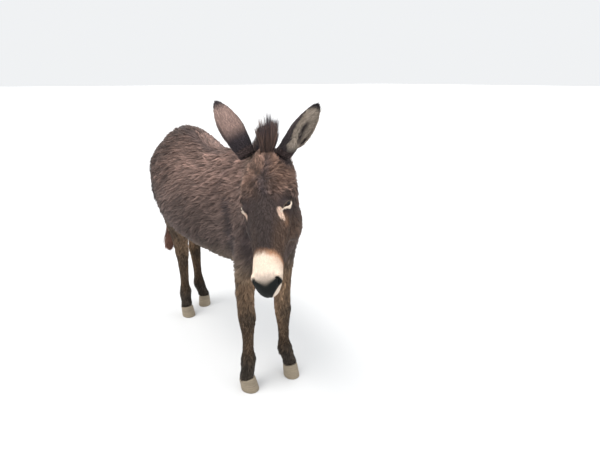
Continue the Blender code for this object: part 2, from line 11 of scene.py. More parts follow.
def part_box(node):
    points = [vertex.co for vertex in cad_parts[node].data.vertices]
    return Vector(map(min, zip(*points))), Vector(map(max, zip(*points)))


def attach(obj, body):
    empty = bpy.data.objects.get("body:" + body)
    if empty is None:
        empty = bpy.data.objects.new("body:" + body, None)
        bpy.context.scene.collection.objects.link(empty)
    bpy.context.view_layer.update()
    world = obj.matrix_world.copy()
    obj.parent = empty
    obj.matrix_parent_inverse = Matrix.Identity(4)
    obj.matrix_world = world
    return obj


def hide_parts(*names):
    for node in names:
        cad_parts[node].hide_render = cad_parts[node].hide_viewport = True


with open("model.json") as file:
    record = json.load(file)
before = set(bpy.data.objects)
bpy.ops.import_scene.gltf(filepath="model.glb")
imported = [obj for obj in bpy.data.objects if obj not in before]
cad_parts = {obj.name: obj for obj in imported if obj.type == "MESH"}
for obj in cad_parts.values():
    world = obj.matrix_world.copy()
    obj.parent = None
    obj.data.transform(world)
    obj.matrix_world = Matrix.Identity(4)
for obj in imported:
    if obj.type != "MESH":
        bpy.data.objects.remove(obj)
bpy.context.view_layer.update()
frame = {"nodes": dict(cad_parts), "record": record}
rng = np.random.default_rng(11)
print("frame loaded")


# small tools: soft steps, mixtures, noise and meshes
def step(low, high, x):
    # 0 below low, 1 above high and an S-shaped rise 3t^2 - 2t^3 between them
    t = np.clip((np.asarray(x, float) - low) / (high - low), 0, 1)
    return t * t * (3 - 2 * t)


def band(rise, fall, x):
    # up over the first pair of values and down again over the second
    return step(*rise, x) * (1 - step(*fall, x))


def bell(distance, width):
    # 1 at the middle, falling as exp(-(d / width)^2)
    return np.exp(-((distance / width) ** 2))


def unit(v):
    # the same ways with a length of one
    v = np.asarray(v, float)
    return v / np.maximum(np.linalg.norm(v, axis=-1, keepdims=True), 1e-12)


def blend(a, b, t):
    # a where t is 0 and b where it is 1
    return a * (1 - t) + b * t


def mix(a, b, t):
    # the same for colours and vectors, with one share for each row
    t = np.asarray(t, float)
    return blend(np.asarray(a, float), np.asarray(b, float), t[..., None] if t.ndim else t)


def distanceTo(points, centre):
    return np.linalg.norm(points - centre, axis=1)


def distanceToLine(points, line):
    # the least distance from each point to a chain of straight pieces
    best = np.full(len(points), 9.0)
    line = np.array(line, float)
    for a, b in zip(line[:-1], line[1:]):
        t = np.clip((points - a) @ (b - a) / ((b - a) @ (b - a)), 0, 1)
        best = np.minimum(best, np.linalg.norm(points - a - t[:, None] * (b - a), axis=1))
    return best


lattice = {  # how the noise scrambles a lattice point's three whole numbers
    "factors": (73856093, 19349663, 83492791),
    "rounds": ((13, 1274126177), (15, 668265263)),
    "largest": 0x7FFFFFFF,
    "shift": 7.31,  # between one seed and the next
}


def cloud(points, size, seed):
    # smooth noise from 0 to 1: random numbers on a lattice of that size, blended along each axis
    grid = np.asarray(points, float) / size + seed * lattice["shift"]
    low = np.floor(grid)
    part = grid - low
    part = part * part * (3 - 2 * part)
    low = low.astype(np.int64)
    total = np.zeros(len(grid))
    for near in np.ndindex(2, 2, 2):
        x, y, z = ((low[:, k] + near[k]) * lattice["factors"][k] for k in range(3))
        h = x ^ y ^ z
        for bits, factor in lattice["rounds"]:
            h = (h ^ (h >> bits)) * factor & lattice["largest"]
        weight = 1.0
        for axis in range(3):
            weight = weight * (part[:, axis] if near[axis] else 1 - part[:, axis])
        total += weight * (h / lattice["largest"])
    return total


def middle(node):
    low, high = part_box(node)
    return (np.array(low) + np.array(high)) / 2


def newObject(name, mesh):
    obj = bpy.data.objects.new(name, mesh)
    bpy.context.scene.collection.objects.link(obj)
    return obj


def gridMesh(name, points, faces):
    # points as rows, faces as rows of three or four indices
    mesh = bpy.data.meshes.new(name)
    mesh.vertices.add(len(points))
    mesh.vertices.foreach_set("co", np.ascontiguousarray(points, np.float32).ravel())
    faces = np.asarray(faces, np.int32)
    mesh.loops.add(faces.size)
    mesh.loops.foreach_set("vertex_index", faces.ravel())
    mesh.polygons.add(len(faces))
    mesh.polygons.foreach_set("loop_start", np.arange(len(faces), dtype=np.int32) * faces.shape[1])
    mesh.polygons.foreach_set("use_smooth", np.ones(len(faces), bool))
    mesh.update(calc_edges=True)
    return mesh


def ringFaces(rows, around):
    # four-sided faces between closed rings of points
    i, j = np.meshgrid(np.arange(rows - 1), np.arange(around), indexing="ij")
    a, b = i * around + j, i * around + (j + 1) % around
    return np.stack([a, b, b + around, a + around], axis=-1).reshape(-1, 4)


def readPoints(mesh):
    # the points and their normals
    both = [np.empty(len(mesh.vertices) * 3, np.float32) for _ in range(2)]
    for key, values in zip(("co", "normal"), both):
        mesh.vertices.foreach_get(key, values)
    return [values.reshape(-1, 3).astype(float) for values in both]


def writePoints(mesh, points):
    mesh.vertices.foreach_set("co", points.astype(np.float32).ravel())
    mesh.update()


def trianglesOf(mesh):
    mesh.calc_loop_triangles()
    index = np.empty(len(mesh.loop_triangles) * 3, np.int32)
    mesh.loop_triangles.foreach_get("vertices", index)
    return index.reshape(-1, 3)


def faceOut(mesh, weld=0):
    # points nearer than weld become one, and the faces are turned outwards
    work = bmesh.new()
    work.from_mesh(mesh)
    if weld:
        bmesh.ops.remove_doubles(work, verts=work.verts, dist=weld)
    bmesh.ops.recalc_face_normals(work, faces=work.faces)
    work.to_mesh(mesh)
    work.free()


def setAttribute(mesh, name, values):
    # a colour where it is called hue, otherwise a vector or a number for each point
    values = np.asarray(values, np.float32)
    kind, key = ("FLOAT_VECTOR", "vector") if values.ndim == 2 else ("FLOAT", "value")
    if name == "hue":
        kind, key = "FLOAT_COLOR", "color"
        values = np.column_stack([values, np.ones(len(values), np.float32)])
    mesh.attributes.new(name, kind, "POINT").data.foreach_set(key, values.ravel())


# where things are: the head's own axes are left, along the face and out of the face
headPose = {"pitch": 46.0, "yaw": 33.0, "twist": 14.0, "eyeAlong": 0.196, "eyeOut": -0.037}


def headAxes():
    # the face line is pitched down, the face rolled about it and both turned to the donkey's right
    pitch, twist, yaw = (math.radians(headPose[k]) for k in ("pitch", "twist", "yaw"))
    along = np.array((0, -math.cos(pitch), -math.sin(pitch)))
    out = np.array((0, -math.sin(pitch), math.cos(pitch)))
    left = np.array((1.0, 0, 0))
    cos, sin = math.cos(twist), math.sin(twist)
    axes = (cos * left + sin * out, along, cos * out - sin * left)
    turn = np.array(Matrix.Rotation(-yaw, 3, "Z"))
    return np.array([turn @ axis for axis in axes])


signs = {"left": 1.0, "right": -1.0}
axesOfHead = headAxes()
eyeMiddle = {side: middle("eye_" + side) for side in signs}
fromPoll = np.array((0, headPose["eyeAlong"], headPose["eyeOut"])) @ axesOfHead
poll = (eyeMiddle["left"] + eyeMiddle["right"]) / 2 - fromPoll


def toHead(points):
    return (points - poll) @ axesOfHead.T


def fromHead(points):
    return np.asarray(points, float) @ axesOfHead + poll


def turnToHead(vectors):
    return vectors @ axesOfHead.T


def turnFromHead(vectors):
    return np.asarray(vectors, float) @ axesOfHead


soles = {m["name"][5:]: np.array(m["pos_m"]) for m in frame["record"]["mounts"]}
trunkMiddle = middle("trunk")
neckCut = {"point": np.array((0.028, -0.265, 0.865)), "normal": unit((0.05, -0.79, 0.62))}
throatCut = {"point": np.array((0, 0.055, -0.100)), "normal": unit((0, 0.69, 0.72))}  # in the head's axes
tailLow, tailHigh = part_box("tail")
tailTop = np.array(((tailLow[0] + tailHigh[0]) / 2, tailLow[1], tailHigh[2]))
bodyParts = {  # pairs are the two ends of a soft change
    "throat": (-0.012, 0.012),
    "headBehind": -0.35,  # no head behind this y
    "neck": (-0.03, 0.03),
    "tail": (-0.012, 0.004),  # from the tail's root
    "tailSide": (0.07, 0.10),
    "tailSpan": (0.2, 0.08),  # from this height to so far above the root
    "foreHind": 0.15,  # y between the fore and hind legs
    "legTop": (0.52, 0.56),  # fore and hind
    "legSoft": (-0.05, 0.06),
    "bellyAbove": 0.44,  # above it only two stretches of y count as leg: their middles and half lengths
    "foreStretch": (-0.22, 0.16),
    "hindStretch": (0.52, 0.17),
    "shank": (0.27, 0.36),
}


def regionsOf(points):
    # soft shares from 0 to 1 that say which part of the body a point is on
    p = bodyParts
    x, y, z = points.T
    head = step(*p["throat"], (toHead(points) - throatCut["point"]) @ throatCut["normal"])
    head = head * (y < p["headBehind"])
    neck = step(*p["neck"], (points - neckCut["point"]) @ neckCut["normal"]) * (1 - head)
    tail = step(tailTop[1] + p["tail"][0], tailTop[1] + p["tail"][1], y)
    tail = tail * (z < tailTop[2] + p["tailSpan"][1]) * (z > p["tailSpan"][0])
    tail = tail * (1 - step(*p["tailSide"], np.abs(x)))
    top = np.where(y < p["foreHind"], *p["legTop"])
    leg = 1 - step(top + p["legSoft"][0], top + p["legSoft"][1], z)
    leg = leg * (1 - tail) * (1 - head) * (1 - neck)
    between = z > p["bellyAbove"]
    for stretch in ("foreStretch", "hindStretch"):
        between = between & (np.abs(y - p[stretch][0]) > p[stretch][1])
    leg = leg * np.where(between, 0.0, 1.0)
    shank = 1 - step(*p["shank"], z)
    trunk = np.clip(1 - head - neck - tail - leg, 0, 1)
    return {"head": head, "neck": neck, "tail": tail, "leg": leg, "shank": shank * leg, "trunk": trunk}


# colours, in one formula for skin and coat
coatColour = {
    # back: partly the coat's own colour, partly painted light from above, so lighter than the flank
    "back": (0.168, 0.104, 0.084),
    "flank": (0.089, 0.062, 0.054),
    "pale": (0.178, 0.136, 0.090),
    "neck": (0.142, 0.096, 0.070),
    "forehead": (0.112, 0.066, 0.048),
    "face": (0.047, 0.033, 0.030),
    "cheek": (0.088, 0.054, 0.038),
    "muzzle": (0.83, 0.69, 0.56),
    "fringe": (0.50, 0.26, 0.145),
    "pink": (0.34, 0.26, 0.23),
    "nose": (0.006, 0.008, 0.007),
    "eyeRing": (0.76, 0.54, 0.42),
    "leg": (0.058, 0.036, 0.021),
    "legPale": (0.235, 0.152, 0.094),
    "pastern": (0.036, 0.028, 0.021),
    # dark: the dark markings, also laid on as painted shade
    "dark": (0.034, 0.026, 0.030),
    "earBack": (0.33, 0.222, 0.190),
    "earPale": (0.50, 0.42, 0.345),
    "tailTip": (0.135, 0.066, 0.046),
}
earShape = {
    "length": 0.214,
    "root": {"left": (0.061, 0.017, -0.022), "right": (-0.064, 0.004, -0.022)},
    "lean": {"left": (0.64, -0.28, 0.71), "right": (-0.37, -0.79, 0.47)},
    "opens": {"left": (0.41, 0.91, 0.0), "right": (-0.55, -0.40, -0.72)},
    "halfWidth": 0.043,
    "darkFrom": {"left": (-0.30, 0.15), "right": (0.80, 1.10)},  # of the back, towards the inner edge
    "foot": (0.036, 0.062),  # the dark hair round the root, measured from so far up the ear
    "footUp": 0.012,
}


def earFrame(side):
    # root, and the unit directions up the ear, out of its opening and across it
    lean = unit(turnFromHead(earShape["lean"][side]))
    opens = turnFromHead(earShape["opens"][side])
    opens = unit(opens - lean * (lean @ opens))
    return fromHead(earShape["root"][side]), lean, opens, np.cross(lean, opens)


paintedShades = {  # painted shade: dark lines in the crease behind the shoulder and in the hollow of the chest, where shade falls, on the right side, which the left side repeats
    "shoulder": {
        "line": (
            (-0.081, -0.155, 0.820), (-0.086, -0.193, 0.740), (-0.084, -0.192, 0.663),
            (-0.073, -0.174, 0.602),
        ),
        "width": 0.016,
        "share": 0.85,
    },
    "chest": {"line": ((-0.060, -0.285, 0.740), (-0.052, -0.292, 0.600)), "width": 0.026, "share": 0.60},
}


def layered(base, *layers):
    # colours or ways laid over one another, each by its share from 0 to 1; a name stands for a coat colour
    colour = coatColour[base] if isinstance(base, str) else base
    for over, share in layers:
        colour = mix(colour, coatColour[over] if isinstance(over, str) else over, share)
    return colour


def streaks(points, lie, size, seed):
    # noise drawn out along the lie: the mean of the noise at five places along it, then stretched to 0..1
    total = sum(cloud(points + lie * (k * size), size, seed) for k in (-2, -1, 0, 1, 2)) / 5
    return step(0.30, 0.70, total)


bodyMarks = {
    "back": (0.70, 0.96),  # heights between which the flank's colour turns into the back's, which is lighter partly as painted light from above
    "rump": 0.62,  # painted shade: how much darker the rump is, from where along the body, and from which height
    "rumpFrom": (0.18, 0.50),
    "rumpAbove": (0.55, 0.75),
    "pale": 0.55,  # the paler underside, below these heights
    "paleBelow": (0.50, 0.66),
    "stripe": 0.45,  # along the back: share, half width, shift over the neck, where it faces up, least height
    "stripeWidth": 0.016,
    "stripeShift": 0.028,
    "stripeUp": (0.7, 0.9),
    "stripeAbove": 0.9,
    "cross": 0.30,  # over the shoulders: share, half width, place along the body, heights
    "crossWidth": 0.02,
    "crossAt": 0.10,
    "crossAbove": (0.74, 0.92),
    "underNeck": 0.4,
    "underNeckDown": (0.15, 0.8),
    "tailTip": (0.45, 0.65),
}
legMarks = {
    "pale": 0.15,  # everywhere, added inside, added in front, and added in front of the upper leg
    "paleInside": 0.75,
    "paleFront": 0.15,
    "paleUpper": 0.35,
    "upper": (0.38, 0.58),
    "paleAbove": (0.14, 0.32),
    "pastern": 0.92,
    "pasternBelow": (0.10, 0.19),
    "knee": 0.5,
    "kneeAt": 0.33,
    "kneeWidth": 0.05,
    "kneeFront": (0.2, 0.8),
}


def legColour(points, normals, wide):
    # paler inside and in front, dark at the pastern and over the knee
    m = legMarks
    z = points[:, 2]
    inner = np.clip(-normals[:, 0] * np.sign(points[:, 0]), 0, 1)
    ahead = np.clip(-normals[:, 1], 0, 1)
    knee = m["knee"] * bell(z - m["kneeAt"], m["kneeWidth"])
    front = m["paleFront"] + m["paleUpper"] * step(*m["upper"], z)
    pale = np.clip(m["pale"] + m["paleInside"] * inner + front * ahead, 0, 1) * step(*m["paleAbove"], z)
    return layered(
        "leg",
        ("legPale", pale * (0.5 + wide)),
        ("pastern", (1 - step(*m["pasternBelow"], z)) * m["pastern"]),
        ("pastern", knee * step(*m["kneeFront"], -normals[:, 1])),
    )


def bodyColour(points, normals, share, wide):
    # flank into back by height, then underside, stripe, cross, neck, painted shade behind the shoulder and on
    # the chest, legs and tail
    m = bodyMarks
    x, y, z = points.T
    # lighter towards the back: partly the coat's own colour, partly painted light from above
    body = layered("flank", ("back", step(*m["back"], z)))
    # painted shade over the top of the rump
    body = body * (1 - m["rump"] * step(*m["rumpFrom"], y) * step(*m["rumpAbove"], z))[:, None]
    stripe = bell(x - m["stripeShift"] * (y < 0), m["stripeWidth"]) * step(*m["stripeUp"], normals[:, 2])
    cross = bell(y + m["crossAt"] - m["crossAt"] * (1.0 - z), m["crossWidth"]) * step(*m["crossAbove"], z)
    folded = np.column_stack([-np.abs(x), y, z])
    # painted shade in the crease behind the shoulder and in the hollow of the chest
    dark = [(s["share"], distanceToLine(folded, s["line"]), s["width"]) for s in paintedShades.values()]
    return layered(
        body,
        ("pale", m["pale"] * (1 - step(*m["paleBelow"], z))),
        ("dark", m["stripe"] * stripe * (z > m["stripeAbove"])),
        ("dark", m["cross"] * cross),
        ("neck", share["neck"]),
        *(("dark", most * bell(away, width)) for most, away, width in dark),
        ("pale", m["underNeck"] * share["neck"] * step(*m["underNeckDown"], -normals[:, 2])),
        (legColour(points, normals, wide), share["leg"]),
        (layered("tailTip", ("neck", step(*m["tailTip"], z))), share["tail"]),
    )


faceMarks = {  # places and widths along the face, across it (left is positive) or out of it
    "dark": (0.10, 0.225),  # where the forehead turns into the dark face
    "rise": 0.045,  # how far the dark reaches up in the middle, its half width, and its ragged edge
    "riseWidth": 0.022,
    "ragged": 0.05,
    "middle": 0.004,
    "parting": 0.55,  # dark line down the forehead
    "partingWidth": 0.007,
    "partingSpan": ((0.02, 0.06), (0.15, 0.20)),
    "cheek": (0.17, 0.24),
    "cheekTurned": (0.35, 0.85),
    # painted shade: the right side of the face gets less of the cheek's lighter colour
    "cheekRight": 0.45,
    "earFoot": 0.75,
    "rightSide": 0.6,  # painted shade: a dark strip below the right eye
    "rightSideAt": -0.064,
    "rightSideWidth": 0.020,
    "rightSideSpan": ((0.215, 0.25), (0.29, 0.34)),
    "byEye": (("face", 0.8, 0.042), ("dark", 0.6, 0.028)),
    "edge": 0.3545,  # the muzzle's edge, its lean to the left and its rise under the cheek
    "edgeLean": (0.10, 0.12),
    "edgeUnder": (0.55, 0.036, 0.09),
    "edgeUneven": 0.004,
    "edgeHairy": 0.007,
    "tan": (0.40, 0.60, 0.028, 0.022),  # the band above the edge: share, added share, its place and width
    "nose": (0.4330, 0.0045, 0.018),  # the dark nose begins here, lower in the middle
    "noseWing": (0.0080, 0.038, 0.009),  # and higher at the nostrils
    "noseSoft": (0.003, 0.014, 0.024),
    "noseSides": (-0.84, 0.25, 1.0, 0.75),  # how fast each side falls off across and down, right and left
    "noseMiddle": 0.4358,
    "noseRound": (0.3, 0.047, 0.2),
    "noseBeside": (0.0450, 0.0475),
    "noseUnder": (0.085, 0.093),
    # painted shade: the nostril's hollow, down these steps inward, darkened like the nose, less on the right
    "holeSteps": (0, 0.004, 0.008, 0.012),
    "hole": (0.0030, 0.0052),
    "holeRight": 0.3,
    "mouth": 0.6,
    "jaw": (0.135, 0.175),
    "jawEnds": 0.33,
}


def noseShare(l, a, o):
    # the dark nose, between two slanting sides and above the lip; returns its upper line as well
    m = faceMarks
    line = m["nose"][0] + m["nose"][1] * bell(l, m["nose"][2])
    line = line - m["noseWing"][0] * bell(np.abs(l) - m["noseWing"][1], m["noseWing"][2])
    soft = m["noseSoft"][0] + m["noseSoft"][1] * bell(l, m["noseSoft"][2])
    right, rightDown, left, leftDown = m["noseSides"]
    down = a - m["noseMiddle"]
    slope, begins, ends = m["noseRound"]
    beside = np.where(l < 0, right * l + rightDown * down, left * l + leftDown * down)
    beside = beside + slope * np.clip(-o - begins, 0, ends)
    share = step(line - soft, line + soft, a)
    return share * (1 - step(*m["noseBeside"], beside)) * (1 - step(*m["noseUnder"], -o)), line


def faceColour(points, normals):
    # forehead into dark face, the cheeks and the eyes, then the pale muzzle with its tan edge, nose and mouth
    m = faceMarks
    local = toHead(points)
    l, a, o = local.T
    rise = a + m["rise"] * bell(l - m["middle"], m["riseWidth"])
    rise = rise + m["ragged"] * (cloud(points, 0.018, 6) - 0.5)
    strip = m["rightSide"] * bell(l - m["rightSideAt"], m["rightSideWidth"])
    cheek = step(*m["cheekTurned"], np.abs(turnToHead(normals)[:, 0])) * step(*m["cheek"], a)
    face = layered(
        "forehead",
        ("face", step(*m["dark"], rise)),
        ("dark", m["parting"] * bell(l - m["middle"], m["partingWidth"]) * band(*m["partingSpan"], a)),
        # less on the right side: painted shade
        ("cheek", cheek * np.where(l < 0, m["cheekRight"], 1.0)),
        ("dark", m["earFoot"] * earFoot(points)),
        # painted shade below the right eye
        ("dark", strip * band(*m["rightSideSpan"], a)),
    )
    for side in signs:
        near = distanceTo(points, eyeMiddle[side])
        face = layered(face, *((name, share * bell(near, width)) for name, share, width in m["byEye"]))
    face = eyeTint(face, points, local)
    slope, begins, ends = m["edgeUnder"]
    edge = m["edge"] + m["edgeLean"][0] * l + slope * np.clip(-o - begins, 0, ends)
    edge = edge + m["edgeLean"][1] * np.clip(l, 0, 1) + m["edgeUneven"] * (cloud(points, 0.010, 5) - 0.5)
    downFace = np.tile(turnFromHead((0, 1.0, 0)), (len(points), 1))
    edge = edge + m["edgeHairy"] * (streaks(points, downFace, 0.003, 9) - 0.5)
    least, more, at, width = m["tan"]
    nose, noseLine = noseShare(l, a, o)
    mirrored = np.column_stack([np.abs(l), a, o])
    inward = np.array(nostril["inward"])
    hole = np.min([distanceToLine(mirrored - inward * k, nostril["line"]) for k in m["holeSteps"]], axis=0)
    return layered(
        face,
        ("fringe", step(edge - 0.020, edge - 0.002, a) * (least + more * bell(l - at, width))),
        ("muzzle", step(edge - 0.008, edge + 0.014, a)),
        ("fringe", 0.35 * bell(a - edge - 0.012, 0.014) * bell(l - 0.034, 0.016)),
        ("pink", 0.45 * bell(a - noseLine + 0.010, 0.010) * (np.abs(l) < 0.03)),
        ("nose", nose),
        # painted shade in the nostril's hollow
        ("nose", (1 - step(*m["hole"], hole)) * np.where(l < 0, m["holeRight"], 1.0)),
        ("pink", m["mouth"] * bell(distanceToLine(mirrored, mouth["line"]), 0.004)),
        ("pale", 0.5 * step(*m["jaw"], -o) * (a < m["jawEnds"])),
    )


hueLimits = {"skin": (0.004, 0.95), "hair": (0.003, 0.95)}
patches = ((0.11, 0.84, 0.32), (0.028, 0.34))  # large ones: size, least tone, range; small ones: size, range


def colourOf(points, normals, ear):
    # the parts' colours joined by the same soft shares, with cloudy lighter and darker patches
    share = regionsOf(points)
    (large, least, ranging), (small, varying) = patches
    wide = cloud(points, large, 1)
    body = mix(bodyColour(points, normals, share, wide), faceColour(points, normals), share["head"])
    body = np.where((ear > 0)[:, None], earColour(points, normals, ear), body)
    tone = (least + ranging * wide) * (1 + varying * (cloud(points, small, 7) - 0.5) * (1 - share["head"]))
    return np.clip(body * tone[:, None], *hueLimits["skin"])


def earFoot(points):
    # the dark hair round each ear's root: 1 near the root, 0 some centimetres from it
    total = np.zeros(len(points))
    for side in signs:
        root, lean, _, _ = earFrame(side)
        total += 1 - step(*earShape["foot"], distanceTo(points, root + lean * earShape["footUp"]))
    return np.clip(total, 0, 1)


eyeAxis, eyeLong, eyeLow = {}, {}, {}
eyeShape = {
    "axis": {"left": (0.62, 0.14, 0.77), "right": (0.965, 0.06, 0.25)},
    "long": (0.65, -0.71, -0.25),
    "radius": 0.0180,
    "halfLong": 0.0150,
    "halfHigh": 0.0064,
    "upper": {"left": 0.70, "right": 0.22},  # how far the upper lid is raised
    "lower": {"left": 1.0, "right": 0.45},
    "rim": {"left": 1.30, "right": 1.15},
    "thickAt": -0.25,  # where along the opening the pale rim is widest
    "lid": 0.0022,  # the lid's height over the ball, its rounded rim, and the skin's depth in the opening
    "lidRim": (0.90, 1.08),
    "behind": 0.0052,
    "overBall": 0.0018,  # the least height of the skin beside the opening
    "crease": (0.0011, 1.75, 0.16),  # depth, place and width of the fold in the upper lid
    "socket": (1.6, 2.5),
    "facing": (0.10, 0.40),
}
for side, sign in signs.items():
    eyeAxis[side] = unit(turnFromHead(np.array(eyeShape["axis"][side]) * (sign, 1, 1)))
    longWay = turnFromHead(np.array(eyeShape["long"]) * (sign, 1, 1))
    eyeLong[side] = unit(longWay - eyeAxis[side] * (eyeAxis[side] @ longWay))
    low = np.cross(eyeAxis[side], eyeLong[side])
    eyeLow[side] = low * np.sign(low @ turnFromHead((0, 0.2, -1.0)))


eyeMarks = {
    "patch": ((0.0480, 0.2175, -0.0165), (0.0500, 0.2275, -0.0220), (0.0535, 0.2350, -0.0275)),
    "tail": ((0.0535, 0.2350, -0.0275), (0.0560, 0.2410, -0.0315)),
    "rust": ((0.0640, 0.2300, -0.0330), (0.0660, 0.2500, -0.0440)),
    "tear": ((0.0535, 0.2165, -0.0195), (0.0545, 0.2230, -0.0225)),
}
sideShift = (0.0235, -0.007, -0.017)  # the right eye's marks stand so much further out
crescent = (
    (-0.0780, 0.1900, -0.0270), (-0.0715, 0.2040, -0.0250), (-0.0690, 0.2150, -0.0290),
    (-0.0705, 0.2240, -0.0370),
)


def eyeTint(face, points, local):
    # the peach patch at the inner corner with a rusty edge, the pale line by the right eye, the white edge
    # of the lower lid, the grey one of the upper lid, and the tear duct
    mirrored = np.column_stack([np.abs(local[:, 0]), local[:, 1:]])
    mirrored = np.where(local[:, :1] < 0, mirrored - sideShift, mirrored)
    away = {name: distanceToLine(mirrored, line) for name, line in eyeMarks.items()}
    face = layered(
        face,
        ("fringe", 0.5 * bell(away["rust"], 0.0080)),
        ("eyeRing", 0.8 * (1 - step(0.0020, 0.0090, away["tail"]))),
        ("eyeRing", 0.97 * (1 - step(0.0080, 0.0125, away["patch"]))),
        ("muzzle", 0.9 * (1 - step(0.0022, 0.0042, distanceToLine(local, crescent)))),
    )
    for side in signs:
        almond, v, _, _ = almondOf(points, side)
        u = (points - eyeMiddle[side]) @ eyeLong[side] / eyeShape["halfLong"]
        thick = eyeShape["rim"][side] + 1.0 * bell(u - eyeShape["thickAt"], 0.55)
        white = step(0.05, 0.30, v / eyeShape["halfHigh"]) * (1 - step(thick, thick + 0.35, almond))
        grey = step(0.0, 0.3, -v / eyeShape["halfHigh"]) * bell(almond - 1.2, 0.25)
        face = layered(face, ("muzzle", white), ("pale", 0.6 * grey))
    return layered(face, ("cheek", 0.9 * bell(away["tear"], 0.0040)))


earMarks = {  # shares up the ear and across it
    "back": ((0.24, 0.50), (0.78, 0.94)),
    "edge": (0.74, 0.96),
    "rim": (0.94, 1.04),
    "tip": (0.80, 0.93),
    # painted shade deep in the ear's hollow towards its outer edge: place across and half width, then its
    # stretch up the ear
    "deepAt": (-0.70, 0.17),
    "deep": ((0.15, 0.28), (0.50, 0.64)),
    "fold": (0.30, 0.48),
    "foot": (0.10, 0.20),
}


def earColour(points, normals, ear):
    # ear is 1 on the left ear and 2 on the right; dark root, tip and edges, lighter back, pale inside with a
    # band of painted shade deep in its hollow
    colour = np.zeros((len(points), 3))
    m = earMarks
    for number, side in enumerate(signs, 1):
        mask = ear == number
        if not mask.any():
            continue
        root, lean, opens, wide = earFrame(side)
        fromRoot = points[mask] - root
        up = fromRoot @ lean / earShape["length"]
        across = fromRoot @ wide / earShape["halfWidth"]
        medial = across * (-signs[side] * np.sign(wide @ turnFromHead((1.0, 0, 0))))
        across = np.abs(across)
        inside = step(0.05, 0.35, normals[mask] @ opens)
        rim = step(*m["rim"], across) * (1 - step(0.2, 0.6, inside)) * step(0.25, 0.4, up)
        back = layered(
            "dark",
            ("earBack", band(*m["back"], up)),
            ("dark", step(*earShape["darkFrom"][side], medial) * 0.9),
            ("dark", step(*m["edge"], across) * 0.65),
            ("earPale", 0.6 * rim),
        )
        fold = medial + 0.35 * (0.45 - up) + 0.25 * (cloud(points[mask], 0.012, 8) - 0.5)
        hollow = layered(
            "earPale",
            ("dark", step(*m["tip"], up)),
            # painted shade deep in the hollow
            ("dark", 0.95 * bell(medial - m["deepAt"][0], m["deepAt"][1]) * band(*m["deep"], up)),
            ("dark", 0.95 * step(*m["fold"], fold)),
            ("dark", 0.8 * (1 - step(*m["foot"], up))),
        )
        colour[mask] = mix(back, hollow, inside)
    return colour


# the skin: the flesh nodes fused, drawn in by the coat's depth, then modelled by strokes
skinShape = {
    "cell": 0.0085,
    "earCell": 0.0024,
    "smoothing": 8,
    "fit": 0.005,  # how far the fused skin may move back to the nodes
    "depth": {
        "trunk": 0.0095, "neck": 0.0085, "leg": 0.0045, "shank": 0.0025, "tail": 0.0060, "head": 0.0045,
    },
    "foreheadDepth": 0.0090,
    "foreheadEnds": (0.12, 0.22),
    "muzzleDepth": 0.0015,
    "muzzleFrom": (0.33, 0.38),
    "finerFace": ((0, 0.20, -0.05), (0, 0.36, -0.06)),  # the face has smaller cells, and eyes and nose again
    "finerFaceReach": 0.155,
    "finerNose": ((0.036, 0.425, -0.05), (-0.036, 0.425, -0.05), (0, 0.45, -0.08)),
    "finerNoseReach": 0.042,
    "finerEyeReach": 0.032,
}
legHalves = [f"{side}_{part}" for side in signs for part in ("upper", "lower")]
fleshNodes = ["trunk", "neck", "head", "tail", "tail_switch"]
fleshNodes += [f"{end}_{half}" for end in ("fore", "hind") for half in legHalves]


def nodeSoup(names):
    # the triangles of several nodes as one set of points and faces
    points, faces, count = [], [], 0
    for name in names:
        mesh = frame["nodes"][name].data
        points.append(readPoints(mesh)[0])
        faces.append(trianglesOf(mesh) + count)
        count += len(points[-1])
    return np.concatenate(points), np.concatenate(faces)


def modify(obj, kind, **settings):
    # a modifier with its settings, until settle keeps its shape
    modifier = obj.modifiers.new(kind.lower(), kind)
    for key, value in settings.items():
        setattr(modifier, key, value)


def settle(obj):
    # keep the shape that the modifiers give
    mesh = bpy.data.meshes.new_from_object(obj.evaluated_get(bpy.context.evaluated_depsgraph_get()))
    obj.modifiers.clear()
    old = obj.data
    obj.data = mesh
    bpy.data.meshes.remove(old)


def depthOf(points):
    # the coat's depth by part, deeper on the forehead and thin on the muzzle
    s, depths, share = skinShape, skinShape["depth"], regionsOf(points)
    depth = sum(depths[k] * share[k] for k in ("trunk", "neck", "leg", "tail", "head"))
    depth = blend(depth, depths["shank"], share["shank"])
    a = toHead(points)[:, 1]
    depth += share["head"] * (1 - step(*s["foreheadEnds"], a)) * (s["foreheadDepth"] - depths["head"])
    return blend(depth, s["muzzleDepth"], share["head"] * step(*s["muzzleFrom"], a))


